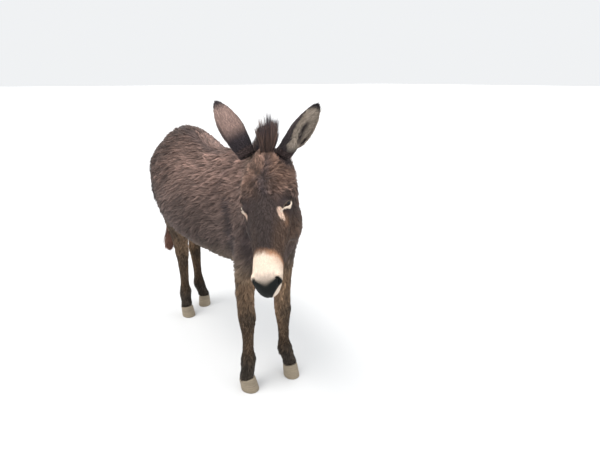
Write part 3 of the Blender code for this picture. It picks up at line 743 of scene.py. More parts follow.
# a stroke: left, along, out, its three widths, and how far it pushes out (+) or in (-), on both sides alike
faceStrokes = {
    "temple": (0.060, 0.148, 0.000, 0.016, 0.020, 0.016, -0.0040),
    "brow": (0.066, 0.176, -0.016, 0.012, 0.020, 0.010, 0.0035),
    "innerCorner": (0.060, 0.222, -0.036, 0.010, 0.010, 0.010, -0.0030),
    "crest": (0.060, 0.262, -0.056, 0.012, 0.045, 0.007, 0.0028),
    "underCrest": (0.060, 0.275, -0.076, 0.014, 0.045, 0.010, -0.0035),
    "noseSide": (0.042, 0.320, -0.036, 0.012, 0.040, 0.012, -0.0030),
    "jawBack": (0.062, 0.120, -0.150, 0.020, 0.030, 0.030, 0.0020),
    "nostrilWing": (0.044, 0.424, -0.036, 0.010, 0.012, 0.014, 0.0022),
    "behindWing": (0.038, 0.404, -0.042, 0.010, 0.010, 0.014, -0.0022),
    "lipPad": (0.020, 0.462, -0.074, 0.018, 0.012, 0.014, 0.0016),
    "foreheadDish": (0, 0.215, 0.020, 0.020, 0.035, 0.03, -0.0015),
    "noseBridge": (0, 0.300, 0.000, 0.012, 0.070, 0.02, 0.0015),
    "betweenNostrils": (0, 0.445, -0.030, 0.010, 0.020, 0.020, -0.0016),
    "underJaw": (0, 0.270, -0.170, 0.016, 0.060, 0.02, -0.0060),
    "philtrum": (0, 0.470, -0.070, 0.003, 0.016, 0.02, -0.0012),
}
nostril = {
    "line": (
        (0.0360, 0.4300, -0.0275), (0.0400, 0.4300, -0.0305), (0.0428, 0.4345, -0.0390),
        (0.0395, 0.4430, -0.0450),
    ),
    "width": 0.0048,
    "depth": 0.0120,
    "inward": (-0.55, -0.30, -0.78),
}
mouth = {
    "line": (
        (0, 0.476, -0.092), (0.018, 0.468, -0.094), (0.030, 0.446, -0.097), (0.037, 0.415, -0.100),
        (0.040, 0.385, -0.098),
    ),
    "width": 0.0030,
    "depth": 0.0036,
}


def modelled(points, normals):
    # each stroke moves the skin along its normal by amount * exp(-((dl/wl)^2 + (da/wa)^2 + (do/wo)^2)),
    # and the nostril and the mouth press it in along their lines
    folded = toHead(points)
    folded[:, 0] = np.abs(folded[:, 0])
    push = np.zeros(len(points))
    for stroke in faceStrokes.values():
        away = (folded - stroke[:3]) / stroke[3:6]
        push += stroke[6] * np.exp(-(away[:, 0] ** 2 + away[:, 1] ** 2 + away[:, 2] ** 2))
    for dent in (nostril, mouth):
        push -= dent["depth"] * bell(distanceToLine(folded, dent["line"]), dent["width"])
    return points + normals * push[:, None]


def almondOf(points, side, wide=False):
    # sqrt((u / halfLong)^2 + (v / high)^2), which is 1 on the rim of the eye's opening and less inside it:
    # u runs along the opening and v down across it, on the ball; wide has both lids fully raised
    away = points - eyeMiddle[side]
    distance = np.linalg.norm(away, axis=1)
    scale = eyeShape["radius"] / np.maximum(distance, 1e-6)
    u, v = away @ eyeLong[side] * scale, away @ eyeLow[side] * scale
    raised = 1.0 if wide else np.where(v < 0, eyeShape["upper"][side], eyeShape["lower"][side])
    high = eyeShape["halfHigh"] * raised
    narrow = 1 - 0.30 * np.abs(u) / eyeShape["halfLong"]
    almond = np.sqrt((u / eyeShape["halfLong"]) ** 2 + (v / (high * np.maximum(narrow, 0.3))) ** 2)
    facing = unit(away) @ eyeAxis[side]
    return np.where((facing > 0.15) & (distance < 0.036), almond, 9.0), v, distance, facing


def lidded(points):
    # round each eye the skin is set at a distance from the eye's middle: over the ball where a lid is,
    # behind it inside the almond (u / halfLong)^2 + (v / halfHigh)^2 < 1, with a rounded rim between
    e = eyeShape
    creaseDepth, creaseAt, creaseWidth = e["crease"]
    for side in signs:
        almond, v, distance, facing = almondOf(points, side)
        rim = e["radius"] + e["lid"] - e["behind"] * (1 - step(*e["lidRim"], almond))
        lids = np.minimum(almond, almondOf(points, side, True)[0])
        crease = creaseDepth * bell(lids - creaseAt, creaseWidth) * (v < 0.3 * e["halfHigh"])
        target = blend(distance, rim - crease, (1 - step(*e["socket"], lids)) * step(*e["facing"], facing))
        target = np.where(almond > e["lidRim"][1], np.maximum(target, e["radius"] + e["overBall"]), target)
        points = eyeMiddle[side] + (points - eyeMiddle[side]) * (target / np.maximum(distance, 1e-6))[:, None]
    return points


def refine(mesh, centres, radius):
    # split the faces near the centres in four and even out the new points
    work = bmesh.new()
    work.from_mesh(mesh)
    co, _ = readPoints(mesh)
    near = np.zeros(len(co), bool)
    for centre in centres:
        near |= np.linalg.norm(co - centre, axis=1) < radius
    work.verts.ensure_lookup_table()
    chosen = [e for e in work.edges if near[e.verts[0].index] and near[e.verts[1].index]]
    made = bmesh.ops.subdivide_edges(work, edges=chosen, cuts=1, use_grid_fill=True, smooth=0.0)
    fresh = [e for e in made["geom_inner"] if isinstance(e, bmesh.types.BMVert)]
    for _ in range(2):
        bmesh.ops.smooth_vert(
            work, verts=fresh, factor=0.5, use_axis_x=True, use_axis_y=True, use_axis_z=True
        )
    work.to_mesh(mesh)
    work.free()


def fitted(obj, names, most, reach=None):
    # move each point along its normal by its distance to the nodes' surface, at most so far;
    # with a reach the distance is measured along the normal, which also fills out thin edges
    points, faces = nodeSoup(names)
    tree = BVHTree.FromPolygons(points.tolist(), faces.tolist())
    co, normal = readPoints(obj.data)
    gap = np.zeros(len(co))
    for i in range(len(co)):
        if reach:
            hit = tree.ray_cast(Vector(co[i] - normal[i] * 0.0015), Vector(normal[i]), reach)[0]
        else:
            hit = tree.find_nearest(Vector(co[i]))[0]
        if hit is not None:
            gap[i] = (np.array(hit) - co[i]) @ normal[i]
    writePoints(obj.data, co + normal * np.clip(gap, -most, most)[:, None])


def fusedSkin():
    # the solids as one closed surface, drawn in along its normals, with smaller cells on the face
    s = skinShape
    obj = newObject("skin", gridMesh("skin", *nodeSoup(fleshNodes + ["eye_left", "eye_right"])))
    modify(obj, "REMESH", mode="VOXEL", voxel_size=s["cell"])
    modify(obj, "SMOOTH", factor=0.5, iterations=s["smoothing"])
    settle(obj)
    fitted(obj, fleshNodes, s["fit"])
    co, normal = readPoints(obj.data)
    writePoints(obj.data, co - normal * depthOf(co)[:, None])
    refine(obj.data, [fromHead(p) for p in s["finerFace"]], s["finerFaceReach"])
    modify(obj, "SMOOTH", factor=0.5, iterations=3)
    settle(obj)
    eyes = list(eyeMiddle.values())
    refine(obj.data, eyes + [fromHead(p) for p in s["finerNose"]], s["finerNoseReach"])
    refine(obj.data, eyes, s["finerEyeReach"])
    co, normal = readPoints(obj.data)
    head = regionsOf(co)["head"] > 0.5
    writePoints(obj.data, np.where(head[:, None], lidded(modelled(co, normal)), co))
    return obj


def earSkin(side):
    # the ear's node, welded and rounded, thinned by the depth of its short hair and sunk a little at its root
    node, name = "ear_" + side, "earSkin_" + side
    obj = newObject(name, gridMesh(name, *nodeSoup([node])))
    faceOut(obj.data, 1e-5)
    modify(obj, "SUBSURF", levels=1, render_levels=1)
    modify(obj, "REMESH", mode="VOXEL", voxel_size=skinShape["earCell"])
    settle(obj)
    fitted(obj, [node], 0.006, 0.010)
    modify(obj, "SMOOTH", factor=0.4, iterations=2)
    settle(obj)
    co, normal = readPoints(obj.data)
    writePoints(obj.data, co - (normal * 0.0004 + earFrame(side)[1] * 0.002))
    return obj


skin = fusedSkin()
print("skin fused,", len(skin.data.polygons), "faces")

for side in signs:
    ear = earSkin(side)
    modify(skin, "BOOLEAN", operation="UNION", solver="EXACT", object=ear)
    settle(skin)
    bpy.data.objects.remove(ear)
print("ears joined,", len(skin.data.polygons), "faces")


# the lie, length and width of the coat
lieWays = {
    "rump": (0, 0.35, -1.0),
    "rumpFrom": (0.42, 0.66),
    "chest": (0, 0.45, -1.0),
    "chestEnds": (-0.36, -0.14),
    "bellyDown": (0.45, 0.85),
    "neck": (0.35, 0.55, -0.75),
    "leg": (0, 0.08, -1.0),
    "tail": (0, 0.05, -1.0),
    "throat": (0, -0.55, -1.0),  # in the head's axes, out of the face below these
    "throatFrom": (-0.115, -0.065),
    "whorl": (0.004, 0.118),  # left and along the face, where the forehead's hair parts
    "swirl": 0.45,
    "swirlWidth": 0.07,
    "downFar": (0.06, 0.15),  # down the face from so far off the whorl, and from so far along
    "downFrom": (0.10, 0.17),
    "earInside": (0.1, 0.4),
}


def turned(vectors, normals, angle):
    # turn tangents about their normals: v cos + (n x v) sin
    return vectors * np.cos(angle)[:, None] + np.cross(normals, vectors) * np.sin(angle)[:, None]


def lieOf(points, normals, ear):
    # the way the hair lies: back and down on the trunk, down the legs and tail, out from the face's whorl
    w, share = lieWays, regionsOf(points)
    x, y, _ = points.T
    l, a, o = toHead(points).T
    ones = np.ones(len(x))
    side = step(0.1, 0.8, np.abs(normals[:, 0]))
    flow = layered(
        np.column_stack([0 * x, ones, -0.15 - 0.75 * side * step(-0.35, 0.1, y)]),
        (w["rump"], step(*w["rumpFrom"], y)),
        (w["chest"], 1 - step(*w["chestEnds"], y)),
        (np.column_stack([0.6 * np.sign(-x) * side, ones, 0 * x]), step(*w["bellyDown"], -normals[:, 2])),
        (w["neck"], share["neck"]),
        (w["leg"], share["leg"]),
        (w["tail"], share["tail"]),
    )
    dl, da = l - w["whorl"][0], a - w["whorl"][1]
    far = np.hypot(dl, da)
    down = np.column_stack([0.25 * np.sign(l), ones, -0.30 * ones])
    swirl = w["swirl"] * unit(np.column_stack([-da, dl, 0 * dl])) * bell(far, w["swirlWidth"])[:, None]
    face = layered(
        unit(np.column_stack([dl, da, -0.35 * far])) + swirl,
        (down, step(*w["downFar"], far) * step(*w["downFrom"], a)),
        (w["throat"], 1 - step(*w["throatFrom"], o)),
    )
    flow = mix(flow, turnFromHead(unit(face)), share["head"])
    for number, name in enumerate(signs, 1):
        _, lean, opens, _ = earFrame(name)
        inside = step(*w["earInside"], normals @ opens)[:, None]
        flow = np.where((ear == number)[:, None], lean + 0.5 * opens * inside, flow)
    flow = flow - normals * np.sum(flow * normals, axis=1)[:, None]
    return unit(flow)


hairLength = {
    "trunk": 0.042, "belly": 0.048, "neck": 0.040, "leg": 0.026, "shank": 0.013, "fetlock": 0.019,
    "tail": 0.024, "forehead": 0.026, "face": 0.0105, "cheek": 0.016, "jaw": 0.022, "muzzle": 0.0042,
    "nose": 0.0022, "eye": 0.0036, "ear": 0.009, "earInside": 0.020,
}
hairSpans = {  # where one length turns into the next: heights, then along or out of the face, and off the eye
    "belly": (0.5, 0.6), "leg": (0.27, 0.44), "forehead": (0.09, 0.205), "cheek": (-0.10, -0.05),
    "jaw": (-0.165, -0.130), "muzzle": (0.30, 0.37), "nose": (0.415, 0.435), "eye": (0.024, 0.042),
}


def lengthOf(points, normals, ear):
    # the lengths of the parts, joined by the same soft shares
    h, spans, share = hairLength, hairSpans, regionsOf(points)
    z = points[:, 2]
    _, a, o = toHead(points).T
    shank = h["shank"] + (h["fetlock"] - h["shank"]) * bell(z - 0.12, 0.035)
    length = blend(h["trunk"], h["belly"], 1 - step(*spans["belly"], z))
    length = blend(length, h["neck"], share["neck"])
    length = blend(length, blend(shank, h["leg"], step(*spans["leg"], z)), share["leg"])
    length = blend(length, h["tail"], share["tail"])
    brow = 1 - step(*spans["forehead"], a)
    face = blend(h["face"], h["forehead"], brow)
    face += (h["cheek"] - h["face"]) * (1 - step(*spans["cheek"], o)) * (1 - brow)
    face += (h["jaw"] - h["cheek"]) * (1 - step(*spans["jaw"], o))
    face = blend(face, h["muzzle"], step(*spans["muzzle"], a))
    face = blend(face, h["nose"], step(*spans["nose"], a) * (o > -0.11))
    for side in signs:
        face = blend(face, h["eye"], 1 - step(*spans["eye"], distanceTo(points, eyeMiddle[side])))
    length = blend(length, face, share["head"]) * (1 - 0.72 * earFoot(points))
    for number, side in enumerate(signs, 1):
        root, lean, opens, wide = earFrame(side)
        up = (points - root) @ lean / earShape["length"]
        off = np.abs((points - root) @ wide) / earShape["halfWidth"]
        deep = step(0.1, 0.4, normals @ opens) * (1 - step(0.45, 0.85, off)) * (1 - step(0.6, 0.9, up))
        deep = deep * step(0.15, 0.30, up)
        length = np.where(ear == number, h["ear"] + (h["earInside"] - h["ear"]) * deep, length)
    return length


# samples of the skin, from which every hair grows
earReach = {"from": 0.022, "to": 0.23, "radius": 0.062}


def earOf(points):
    # 1 on the left ear, 2 on the right, 0 elsewhere
    found = np.zeros(len(points), int)
    for number, side in enumerate(signs, 1):
        root, lean, _, _ = earFrame(side)
        away = points - root
        up = away @ lean
        near = np.linalg.norm(away - np.outer(up, lean), axis=1) < earReach["radius"]
        found[(up > earReach["from"]) & (up < earReach["to"]) & near] = number
    return found


skinPoints, skinNormals = readPoints(skin.data)
skinFaces = trianglesOf(skin.data)
skinEar = earOf(skinPoints)
print("skin has", len(skinFaces), "triangles")
corner = skinPoints[skinFaces]
faceArea = np.linalg.norm(np.cross(corner[:, 1] - corner[:, 0], corner[:, 2] - corner[:, 0]), axis=1) / 2
faceMiddle = corner.mean(axis=1)
faceEar = earOf(faceMiddle)
faceShare = regionsOf(faceMiddle)
faceAlong = toHead(faceMiddle)[:, 1]
openEye = np.zeros(len(faceMiddle), bool)  # no hair grows in the eye's opening and on its rim
for side in signs:
    almond, below, _, _ = almondOf(faceMiddle, side)
    openEye |= almond < np.where(below > 0, 1.30, 1.20)


def rootsOn(mask, count, density=None):
    # random points on the chosen faces, evenly by area (times a density), with the skin's rounded normal
    weight = faceArea * (mask & ~openEye)
    if density is not None:
        weight = weight * density
    chosen = rng.choice(len(faceArea), size=count, p=weight / weight.sum())
    r, s = np.sqrt(rng.random(count)), rng.random(count)
    share = np.column_stack([1 - r, r * (1 - s), r * s])
    points = (corner[chosen] * share[:, :, None]).sum(axis=1)
    normals = unit((skinNormals[skinFaces[chosen]] * share[:, :, None]).sum(axis=1))
    return points, normals, faceEar[chosen]


def unwrapRound(points, origin, axis, zero, low, high):
    # u is the angle round the part's own line and v the distance along it
    axis, zero = unit(axis), unit(zero)
    zero = unit(zero - axis * (zero @ axis))
    away = points - origin
    u = np.arctan2(away @ np.cross(axis, zero), away @ zero) / (2 * np.pi) + 0.5
    v = (away @ axis - low) / (high - low)
    return np.column_stack([0.02 + 0.96 * u, 0.02 + 0.96 * np.clip(v, 0, 1)])


pieces = []
patchSize = {"wide": 0.0026, "high": 0.003}  # a tuft's patch on the unwrap


def bladeMesh(name, path, side, width, hue, place):
    # each blade is a ribbon, path - and + side width / 2, that ends in a tip, with one hue for each point of
    # the path; place is where its root lies on the skin's unwrap
    count, rows, _ = path.shape
    half = side[:, None] * width[:, :-1, None] / 2
    edges = np.stack([path[:, :-1] - half, path[:, :-1] + half], axis=2).reshape(count, -1, 3)
    points = np.concatenate([edges, path[:, -1:]], axis=1)
    colours = np.concatenate([np.repeat(hue[:, :-1], 2, axis=1), hue[:, -1:]], axis=1)
    pattern = []
    for j in range(0, 2 * (rows - 2), 2):
        pattern += [(j, j + 1, j + 3), (j, j + 3, j + 2)]
    tip = 2 * (rows - 1)
    pattern.append((tip - 2, tip - 1, tip))
    faces = (np.arange(count)[:, None, None] * (tip + 1) + np.array(pattern)).reshape(-1, 3)
    mesh = gridMesh(name, points.reshape(-1, 3), faces)
    setAttribute(mesh, "hue", colours.reshape(-1, 3))
    share = np.linspace(0, 1, rows)[:-1]
    high = patchSize["high"]
    across, up = patchSize["wide"] / 2 * (1 - share), high * share - high / 2
    patch = np.concatenate([np.stack([-across, up, across, up], axis=1).reshape(-1, 2), [[0, high / 2]]])
    spots = (place[:, None] + patch).reshape(-1, 2)
    layer = mesh.uv_layers.new(name="OFBake")
    layer.data.foreach_set("uv", spots[faces.ravel()].astype(np.float32).ravel())
    obj = newObject(name, mesh)
    pieces.append(obj)
    print(name, len(faces), "triangles")
    return obj


def carried(ways, amounts):
    # each blade's direction times its amount at every row
    return ways[:, None] * amounts[:, :, None]


def shadedAtRoot(hues, tone, plan, s):
    # each blade's colour times its tone, from the root's share to the tip's; the darker root is painted shade
    # of the coat over it
    rootShade = plan["root"] + (plan["tip"] - plan["root"]) * s
    return np.clip(hues[:, None] * (tone[:, None] * rootShade)[:, :, None], *hueLimits["hair"])


tuftHabits = {  # what a plan doesn't say: rows of points, turns of the lie, colour, and each blade's form
    "rows": 3, "sway": 0.9, "ruffle": 1.0, "stray": 0.16, "mottle": 0.22, "streak": 0.007, "calm": 0.0,
    # root and tip are the colour shares at a blade's two ends: the darker root is painted shade
    "contrast": 1.1, "curl": 0.0, "ridge": 0.12, "bend": 0.45, "roll": 0.45, "root": 0.50, "tip": 1.30,
}


def coatPiece(name, mask, plan, unwrap, density=None):
    # a tuft is a handful of blades rooted round one point: at share s along it a blade stands at root +
    # offset (1 - clump s) + lie L s cos(lift) + normal (L sin(lift) (s - bend s^2) + ridge) + sideways curl
    p = tuftHabits | plan
    count, blades, rows = p["tufts"], p["blades"], p["rows"]
    roots, normals, ear = rootsOn(mask, count, density)
    lie = lieOf(roots, normals, ear)
    sway = (cloud(roots, 0.060, 21) - 0.5) * p["sway"] + (cloud(roots, 0.018, 22) - 0.5) * p["ruffle"]
    lie = turned(lie, normals, sway + rng.normal(0, p["stray"], count))
    length = lengthOf(roots, normals, ear) * rng.uniform(0.72, 1.22, count)
    across = np.cross(normals, lie)
    lift = np.radians(p["lift"]) * rng.uniform(0.55, 1.5, count) + 0.30 * (cloud(roots, 0.024, 23) - 0.5)
    hues = colourOf(roots, normals, ear)
    fine, coarse = streaks(roots, lie, p["streak"], 41), streaks(roots, lie, 2.4 * p["streak"], 42)
    streak = 0.6 * fine + 0.4 * coarse - 0.5
    streak = streak * (1 - p["calm"] * (1 - step(0.74, 0.94, roots[:, 2])))
    shade = np.exp(rng.normal(0, p["mottle"], count) + p["contrast"] * streak)
    lift = lift * (1 + 0.7 * streak)
    total = count * blades
    pick = np.repeat(np.arange(count), blades)
    ridge = (p["ridge"] * length * streak)[pick]
    out, onward, sideways, reach = normals[pick], lie[pick], across[pick], length[pick]
    spread = p["spread"] * np.clip(reach / 0.03, 0.3, 1.2)
    angle, far = rng.random(total) * 2 * np.pi, np.sqrt(rng.random(total)) * spread
    offset = sideways * (far * np.cos(angle))[:, None] + onward * (1.3 * far * np.sin(angle))[:, None]
    own = reach * rng.uniform(0.75, 1.12, total)
    phase = rng.uniform(-0.6, 0.6, total) + 6.28 * cloud(roots, 0.02, 24)[pick]
    s = np.linspace(0, 1, rows)
    rise, run = np.sin(lift)[pick] * own, np.cos(lift)[pick] * own
    path = roots[pick][:, None] + offset[:, None] * (1 - p["clump"] * s)[None, :, None]
    path = path + carried(onward, run[:, None] * s)
    path = path + carried(out, rise[:, None] * (s - p["bend"] * s * s) - 0.04 * reach[:, None])
    path = path + carried(out, ridge[:, None] * np.sin(np.pi * np.minimum(s * 1.3, 1)))
    wave = (p["curl"] * own)[:, None] * (np.sin(phase[:, None] + 4.2 * s) - np.sin(phase)[:, None])
    path = path + carried(sideways, wave)
    roll = rng.normal(0, p["roll"], total)
    side = sideways * np.cos(roll)[:, None] + out * np.sin(roll)[:, None]
    width = p["width"] * rng.uniform(0.7, 1.25, total)[:, None] * np.clip(reach / 0.02, 0.45, 1.15)[:, None]
    width = width * np.array([0.8] + [1.0 - 0.25 * j / (rows - 2) for j in range(1, rows)])
    tone = shade[pick] * np.exp(rng.normal(0, 0.13, total))
    return bladeMesh(name, path, side, width, shadedAtRoot(hues[pick], tone, p, s), unwrap(roots)[pick])


def onHead(low, high):
    # faces between two places along the face
    return (faceShare["head"] > 0.5) & (faceEar == 0) & (faceAlong > low) & (faceAlong <= high)


onBody = (faceShare["head"] <= 0.5) & (faceEar == 0)
onLeg, onTail, onNeck = (onBody & (faceShare[part] > 0.5) for part in ("leg", "tail", "neck"))
onTrunk = onBody & ~onLeg & ~onTail & ~onNeck
isFore = faceMiddle[:, 1] < bodyParts["foreHind"]
fullCoat = 1.0
trunkPlan = {
    "tufts": int(6900 * fullCoat), "blades": 6, "width": 0.0017, "lift": 16, "spread": 0.0057, "clump": 0.72,
    "contrast": 1.45, "calm": 0.55, "streak": 0.0058, "ridge": 0.10, "sway": 0.8, "ruffle": 0.9, "tip": 1.25,
}
trunkCuts = (-1, -0.12, 0.20, 0.46, 2)  # y between the trunk's four pieces
for number, (near, far) in enumerate(zip(trunkCuts[:-1], trunkCuts[1:]), 1):
    mine = onTrunk & (faceMiddle[:, 1] > near) & (faceMiddle[:, 1] <= far)
    coatPiece(
        f"coatTrunk{number}", mine, trunkPlan,
        lambda p: unwrapRound(p, trunkMiddle, (0, 1, 0), (0, 0, -1), -0.75, 0.75),
    )

neckPlan = trunkPlan | {"tufts": int(4900 * fullCoat), "spread": 0.0056, "contrast": 1.6}
neckLine = (poll + neckCut["point"]) / 2
coatPiece(
    "coatNeck", onNeck, neckPlan,
    lambda p: unwrapRound(p, neckLine, -neckCut["normal"], (0, 0, -1), -0.3, 0.3),
)


def unwrapHead(points):
    return unwrapRound(points, fromHead((0, 0.2, -0.09)), *turnFromHead(((0, 1, 0), (0, 0, -1))), -0.28, 0.30)


browPlan = {
    "tufts": int(5200 * fullCoat), "blades": 5, "rows": 4, "width": 0.0010, "lift": 25, "spread": 0.0042,
    "clump": 0.84, "curl": 0.18, "mottle": 0.28, "contrast": 1.9, "streak": 0.0035, "ruffle": 1.2,
    "ridge": 0.14, "root": 0.38, "tip": 1.5,
}
facePlan = {
    "tufts": int(11000 * fullCoat), "blades": 4, "width": 0.0012, "lift": 15, "spread": 0.0034, "clump": 0.6,
    "mottle": 0.16, "contrast": 0.7, "streak": 0.004, "ruffle": 0.6, "sway": 0.5, "root": 0.7, "tip": 1.15,
}
muzzlePlan = facePlan | {
    "tufts": int(8600 * fullCoat), "width": 0.0010, "lift": 13, "spread": 0.0024, "mottle": 0.04,
    "contrast": 0.12, "root": 0.96, "tip": 1.02, "ruffle": 0.4,
}
coatPiece("coatBrow", onHead(-1, 0.165), browPlan, unwrapHead)
coatPiece("coatFace", onHead(0.165, 0.36), facePlan, unwrapHead)
coatPiece("coatMuzzle", onHead(0.36, 1), muzzlePlan, unwrapHead, 1 - 0.96 * step(0.428, 0.446, faceAlong))

legPlan = {
    "tufts": int(4800 * fullCoat), "blades": 5, "width": 0.0017, "lift": 15, "spread": 0.0046, "clump": 0.74,
    "mottle": 0.20, "contrast": 1.2, "streak": 0.006, "ruffle": 0.8, "sway": 0.5, "ridge": 0.09,
}
for name, sole in soles.items():
    end, side = name.split("_")
    between = 0.5 * sum(soles[end + "_" + s][0] for s in signs)
    mine = onLeg & (isFore == (end == "fore")) & ((faceMiddle[:, 0] > between) == (side == "left"))
    coatPiece(
        "coatLeg_" + name, mine, legPlan,
        lambda p, sole=sole: unwrapRound(p, sole, (0, 0, 1), (0, -1, 0), 0, 0.66),
    )

tailPlan = legPlan | {"tufts": int(2000 * fullCoat), "lift": 14}
coatPiece(
    "coatTail", onTail & (faceMiddle[:, 2] > 0.5), tailPlan,
    lambda p: unwrapRound(p, tailTop * (1, 1, 0), (0, 0, 1), (0, 1, 0), 0.2, 1.05),
)

earPlan = {
    "tufts": int(4300 * fullCoat), "blades": 4, "width": 0.0012, "lift": 12, "spread": 0.0026, "clump": 0.5,
    "mottle": 0.14, "contrast": 0.6, "streak": 0.004, "ruffle": 0.5, "sway": 0.3, "stray": 0.12, "root": 0.7,
    "tip": 1.15,
}
for number, side in enumerate(signs, 1):
    root, lean, opens, _ = earFrame(side)
    coatPiece(
        "coatEar_" + side, faceEar == number, earPlan,
        lambda p, root=root, lean=lean, opens=opens: unwrapRound(p, root, lean, -opens, 0, 0.23),
    )


# long hair: locks along given lines
def gathered(roots, count):
    # the roots in random locks: each root's nearest of some of them
    centres = roots[rng.choice(len(roots), size=count, replace=False)]
    parts = np.array_split(roots, 40)  # a part at a time, to spare memory
    nearest = [np.argmin(((part[:, None] - centres) ** 2).sum(axis=2), axis=1) for part in parts]
    return centres[np.concatenate(nearest)]


def lockPiece(name, roots, ways, lengths, plan, unwrap, hues):
    # a blade stands at its lock's middle + offset (1 - clump s) + way L s - droop L s^2 (down) + waves:
    # wave L (sin(lock + 3 s) - sin(lock)) + frizz L s, across the way and across both
    count, rows, size = len(roots), plan["rows"], plan["lockSize"]
    s = np.linspace(0, 1, rows)
    middles = gathered(roots, plan["locks"])
    lock = cloud(middles, size, 31) * 12.0
    turn = np.column_stack([cloud(middles * 7.0, size, seed) - 0.5 for seed in (33, 34, 35)])
    ways = unit(ways + plan["splay"] * turn)
    lengths = lengths * (1 - plan["uneven"] * cloud(middles * 5.0, size, 36))
    across = unit(np.cross(ways, (0.3, 0.2, 1.0)))
    other = np.cross(ways, across)
    path = middles[:, None] + (roots - middles)[:, None] * (1 - plan["clump"] * s)[:, None]
    path = path + carried(ways, lengths[:, None] * s)
    path[:, :, 2] -= plan["droop"] * lengths[:, None] * s**2
    for axis, shift in ((across, 0.0), (other, 1.7)):
        swing = np.sin(lock[:, None] + shift + 3.0 * s) - np.sin(lock + shift)[:, None]
        wave = plan["wave"] * lengths[:, None] * swing
        frizz = plan["frizz"] * lengths[:, None] * s * rng.normal(0, 1, (count, 1))
        path = path + carried(axis, wave + frizz)
    roll = rng.random(count) * np.pi
    side = across * np.cos(roll)[:, None] + other * np.sin(roll)[:, None]
    width = plan["width"] * rng.uniform(0.7, 1.3, count)[:, None] * np.linspace(1.0, 0.6, rows)[None]
    tone = np.exp(rng.normal(0, 0.22, count) + 0.9 * (cloud(middles * 9.0, size, 37) - 0.5))
    # the colour darker towards the root: painted shade
    return bladeMesh(name, path, side, width, shadedAtRoot(hues, tone, plan, s), unwrap(roots))


def along(line, t):
    # points at shares t of a line through the given points
    line = np.array(line, float)
    u = t * (len(line) - 1)
    i = np.minimum(u.astype(int), len(line) - 2)
    return line[i] + (line[i + 1] - line[i]) * (u - i)[:, None]


maneShape = {
    "count": int(12500 * fullCoat), "rows": 4, "width": 0.0024, "droop": 0.02, "wave": 0.05, "frizz": 0.04,
    "lockSize": 0.022, "locks": 260, "clump": 0.65, "splay": 0.25, "uneven": 0.25, "root": 0.7, "tip": 1.4,
    "height": 0.060,  # over the least height, which is hidden by the sunk roots; it falls off at both ends
    "least": 0.030,
    "sunk": 0.028,
    "front": (-0.10, 0.22),
    "back": (0.70, 1.0),
    "halfWidth": 0.016,
    "line": (
        (-0.098, -0.482, 1.060), (-0.080, -0.465, 1.066), (-0.057, -0.420, 1.060), (-0.022, -0.350, 1.044),
        (0.013, -0.270, 1.026), (0.038, -0.190, 1.010), (0.048, -0.130, 1.012),
    ),
}


def mane():
    # upright hair along the crest: off is the share across it, and the outer hair leans out and is shorter
    m, count = maneShape, maneShape["count"]
    t = rng.random(count)
    ahead, behind = (along(m["line"], np.clip(t + shift, 0, 1)) for shift in (0.03, -0.03))
    heading = unit(ahead - behind)
    sideways = unit(np.cross(heading, (0, 0, 1.0)))
    off = rng.normal(0, 0.42, count).clip(-1, 1)
    roots = along(m["line"], t) + sideways * (off * m["halfWidth"])[:, None] - np.array((0, 0, m["sunk"]))
    lean = sideways * (0.28 * off)[:, None]
    ways = unit(np.array((0, 0, 1.0)) + lean + heading * rng.normal(-0.10, 0.16, (count, 1)))
    height = m["height"] * step(*m["front"], t) * (1 - 0.75 * step(*m["back"], t)) + m["least"]
    lengths = height * rng.uniform(0.75, 1.08, count) * (1 - 0.25 * np.abs(off))
    hues = layered("dark", ("neck", step(0.5, 1.0, np.abs(off)) * 0.7))
    unwrap = lambda p: unwrapRound(p, trunkMiddle, (0, -1, 0.1), (0, 0, -1), 0.0, 0.6)
    return lockPiece("maneHair", roots, ways, lengths, m, unwrap, hues)


forelockShape = {
    "count": int(4800 * fullCoat), "rows": 4, "width": 0.0015, "droop": 0.02, "wave": 0.05, "frizz": 0.06,
    "lockSize": 0.016, "locks": 70, "clump": 0.92, "splay": 0.30, "uneven": 0.50, "root": 0.55, "tip": 1.9,
    "length": 0.128,
    "radius": (0.019, 0.020, 0.006),  # of the roots' mound: across, along and its fall at the rim
    "aim": (0.10, -0.02, 1.0),
    "fan": 0.17,
}


def forelock():
    # an upright tuft from a round mound: far is the share from its middle, where the hair is longest
    f, count = forelockShape, forelockShape["count"]
    low, high = (np.array(v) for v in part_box("forelock"))
    foot = np.array((*(low + high)[:2] / 2, low[2] + 0.004))
    angle, far = rng.random(count) * 2 * np.pi, np.sqrt(rng.random(count))
    wide, deep, fall = f["radius"]
    roots = foot + np.column_stack([wide * far * np.cos(angle), deep * far * np.sin(angle), -fall * far])
    fan = np.column_stack([f["fan"] * far * np.cos(angle), f["fan"] * far * np.sin(angle), 0 * far])
    ways = unit(np.array(f["aim"]) + fan + rng.normal(0, 0.03, (count, 3)))
    lengths = f["length"] * (1.05 - 0.22 * far**2) * rng.uniform(0.85, 1.08, count)
    hues = layered("dark", ("forehead", 0.75 * step(0.62, 1.0, far + rng.normal(0, 0.12, count))))
    unwrap = lambda p: unwrapRound(p, foot, (0, 0, 1), (0, 1, 0), -0.05, 0.05)
    return lockPiece("forelockHair", roots, ways, lengths, f, unwrap, hues)


switchShape = {
    "count": int(3200 * fullCoat), "rows": 6, "width": 0.0022, "droop": 0.0, "wave": 0.03, "frizz": 0.03,
    "lockSize": 0.012, "locks": 60, "clump": 0.5, "splay": 0.12, "uneven": 0.2, "root": 0.7, "tip": 1.4,
    "length": 0.17,
    "span": (0.76, -0.10),  # the roots' share of the tail's end, and where they begin
    "radius": 0.015,
    "fan": 0.14,
}


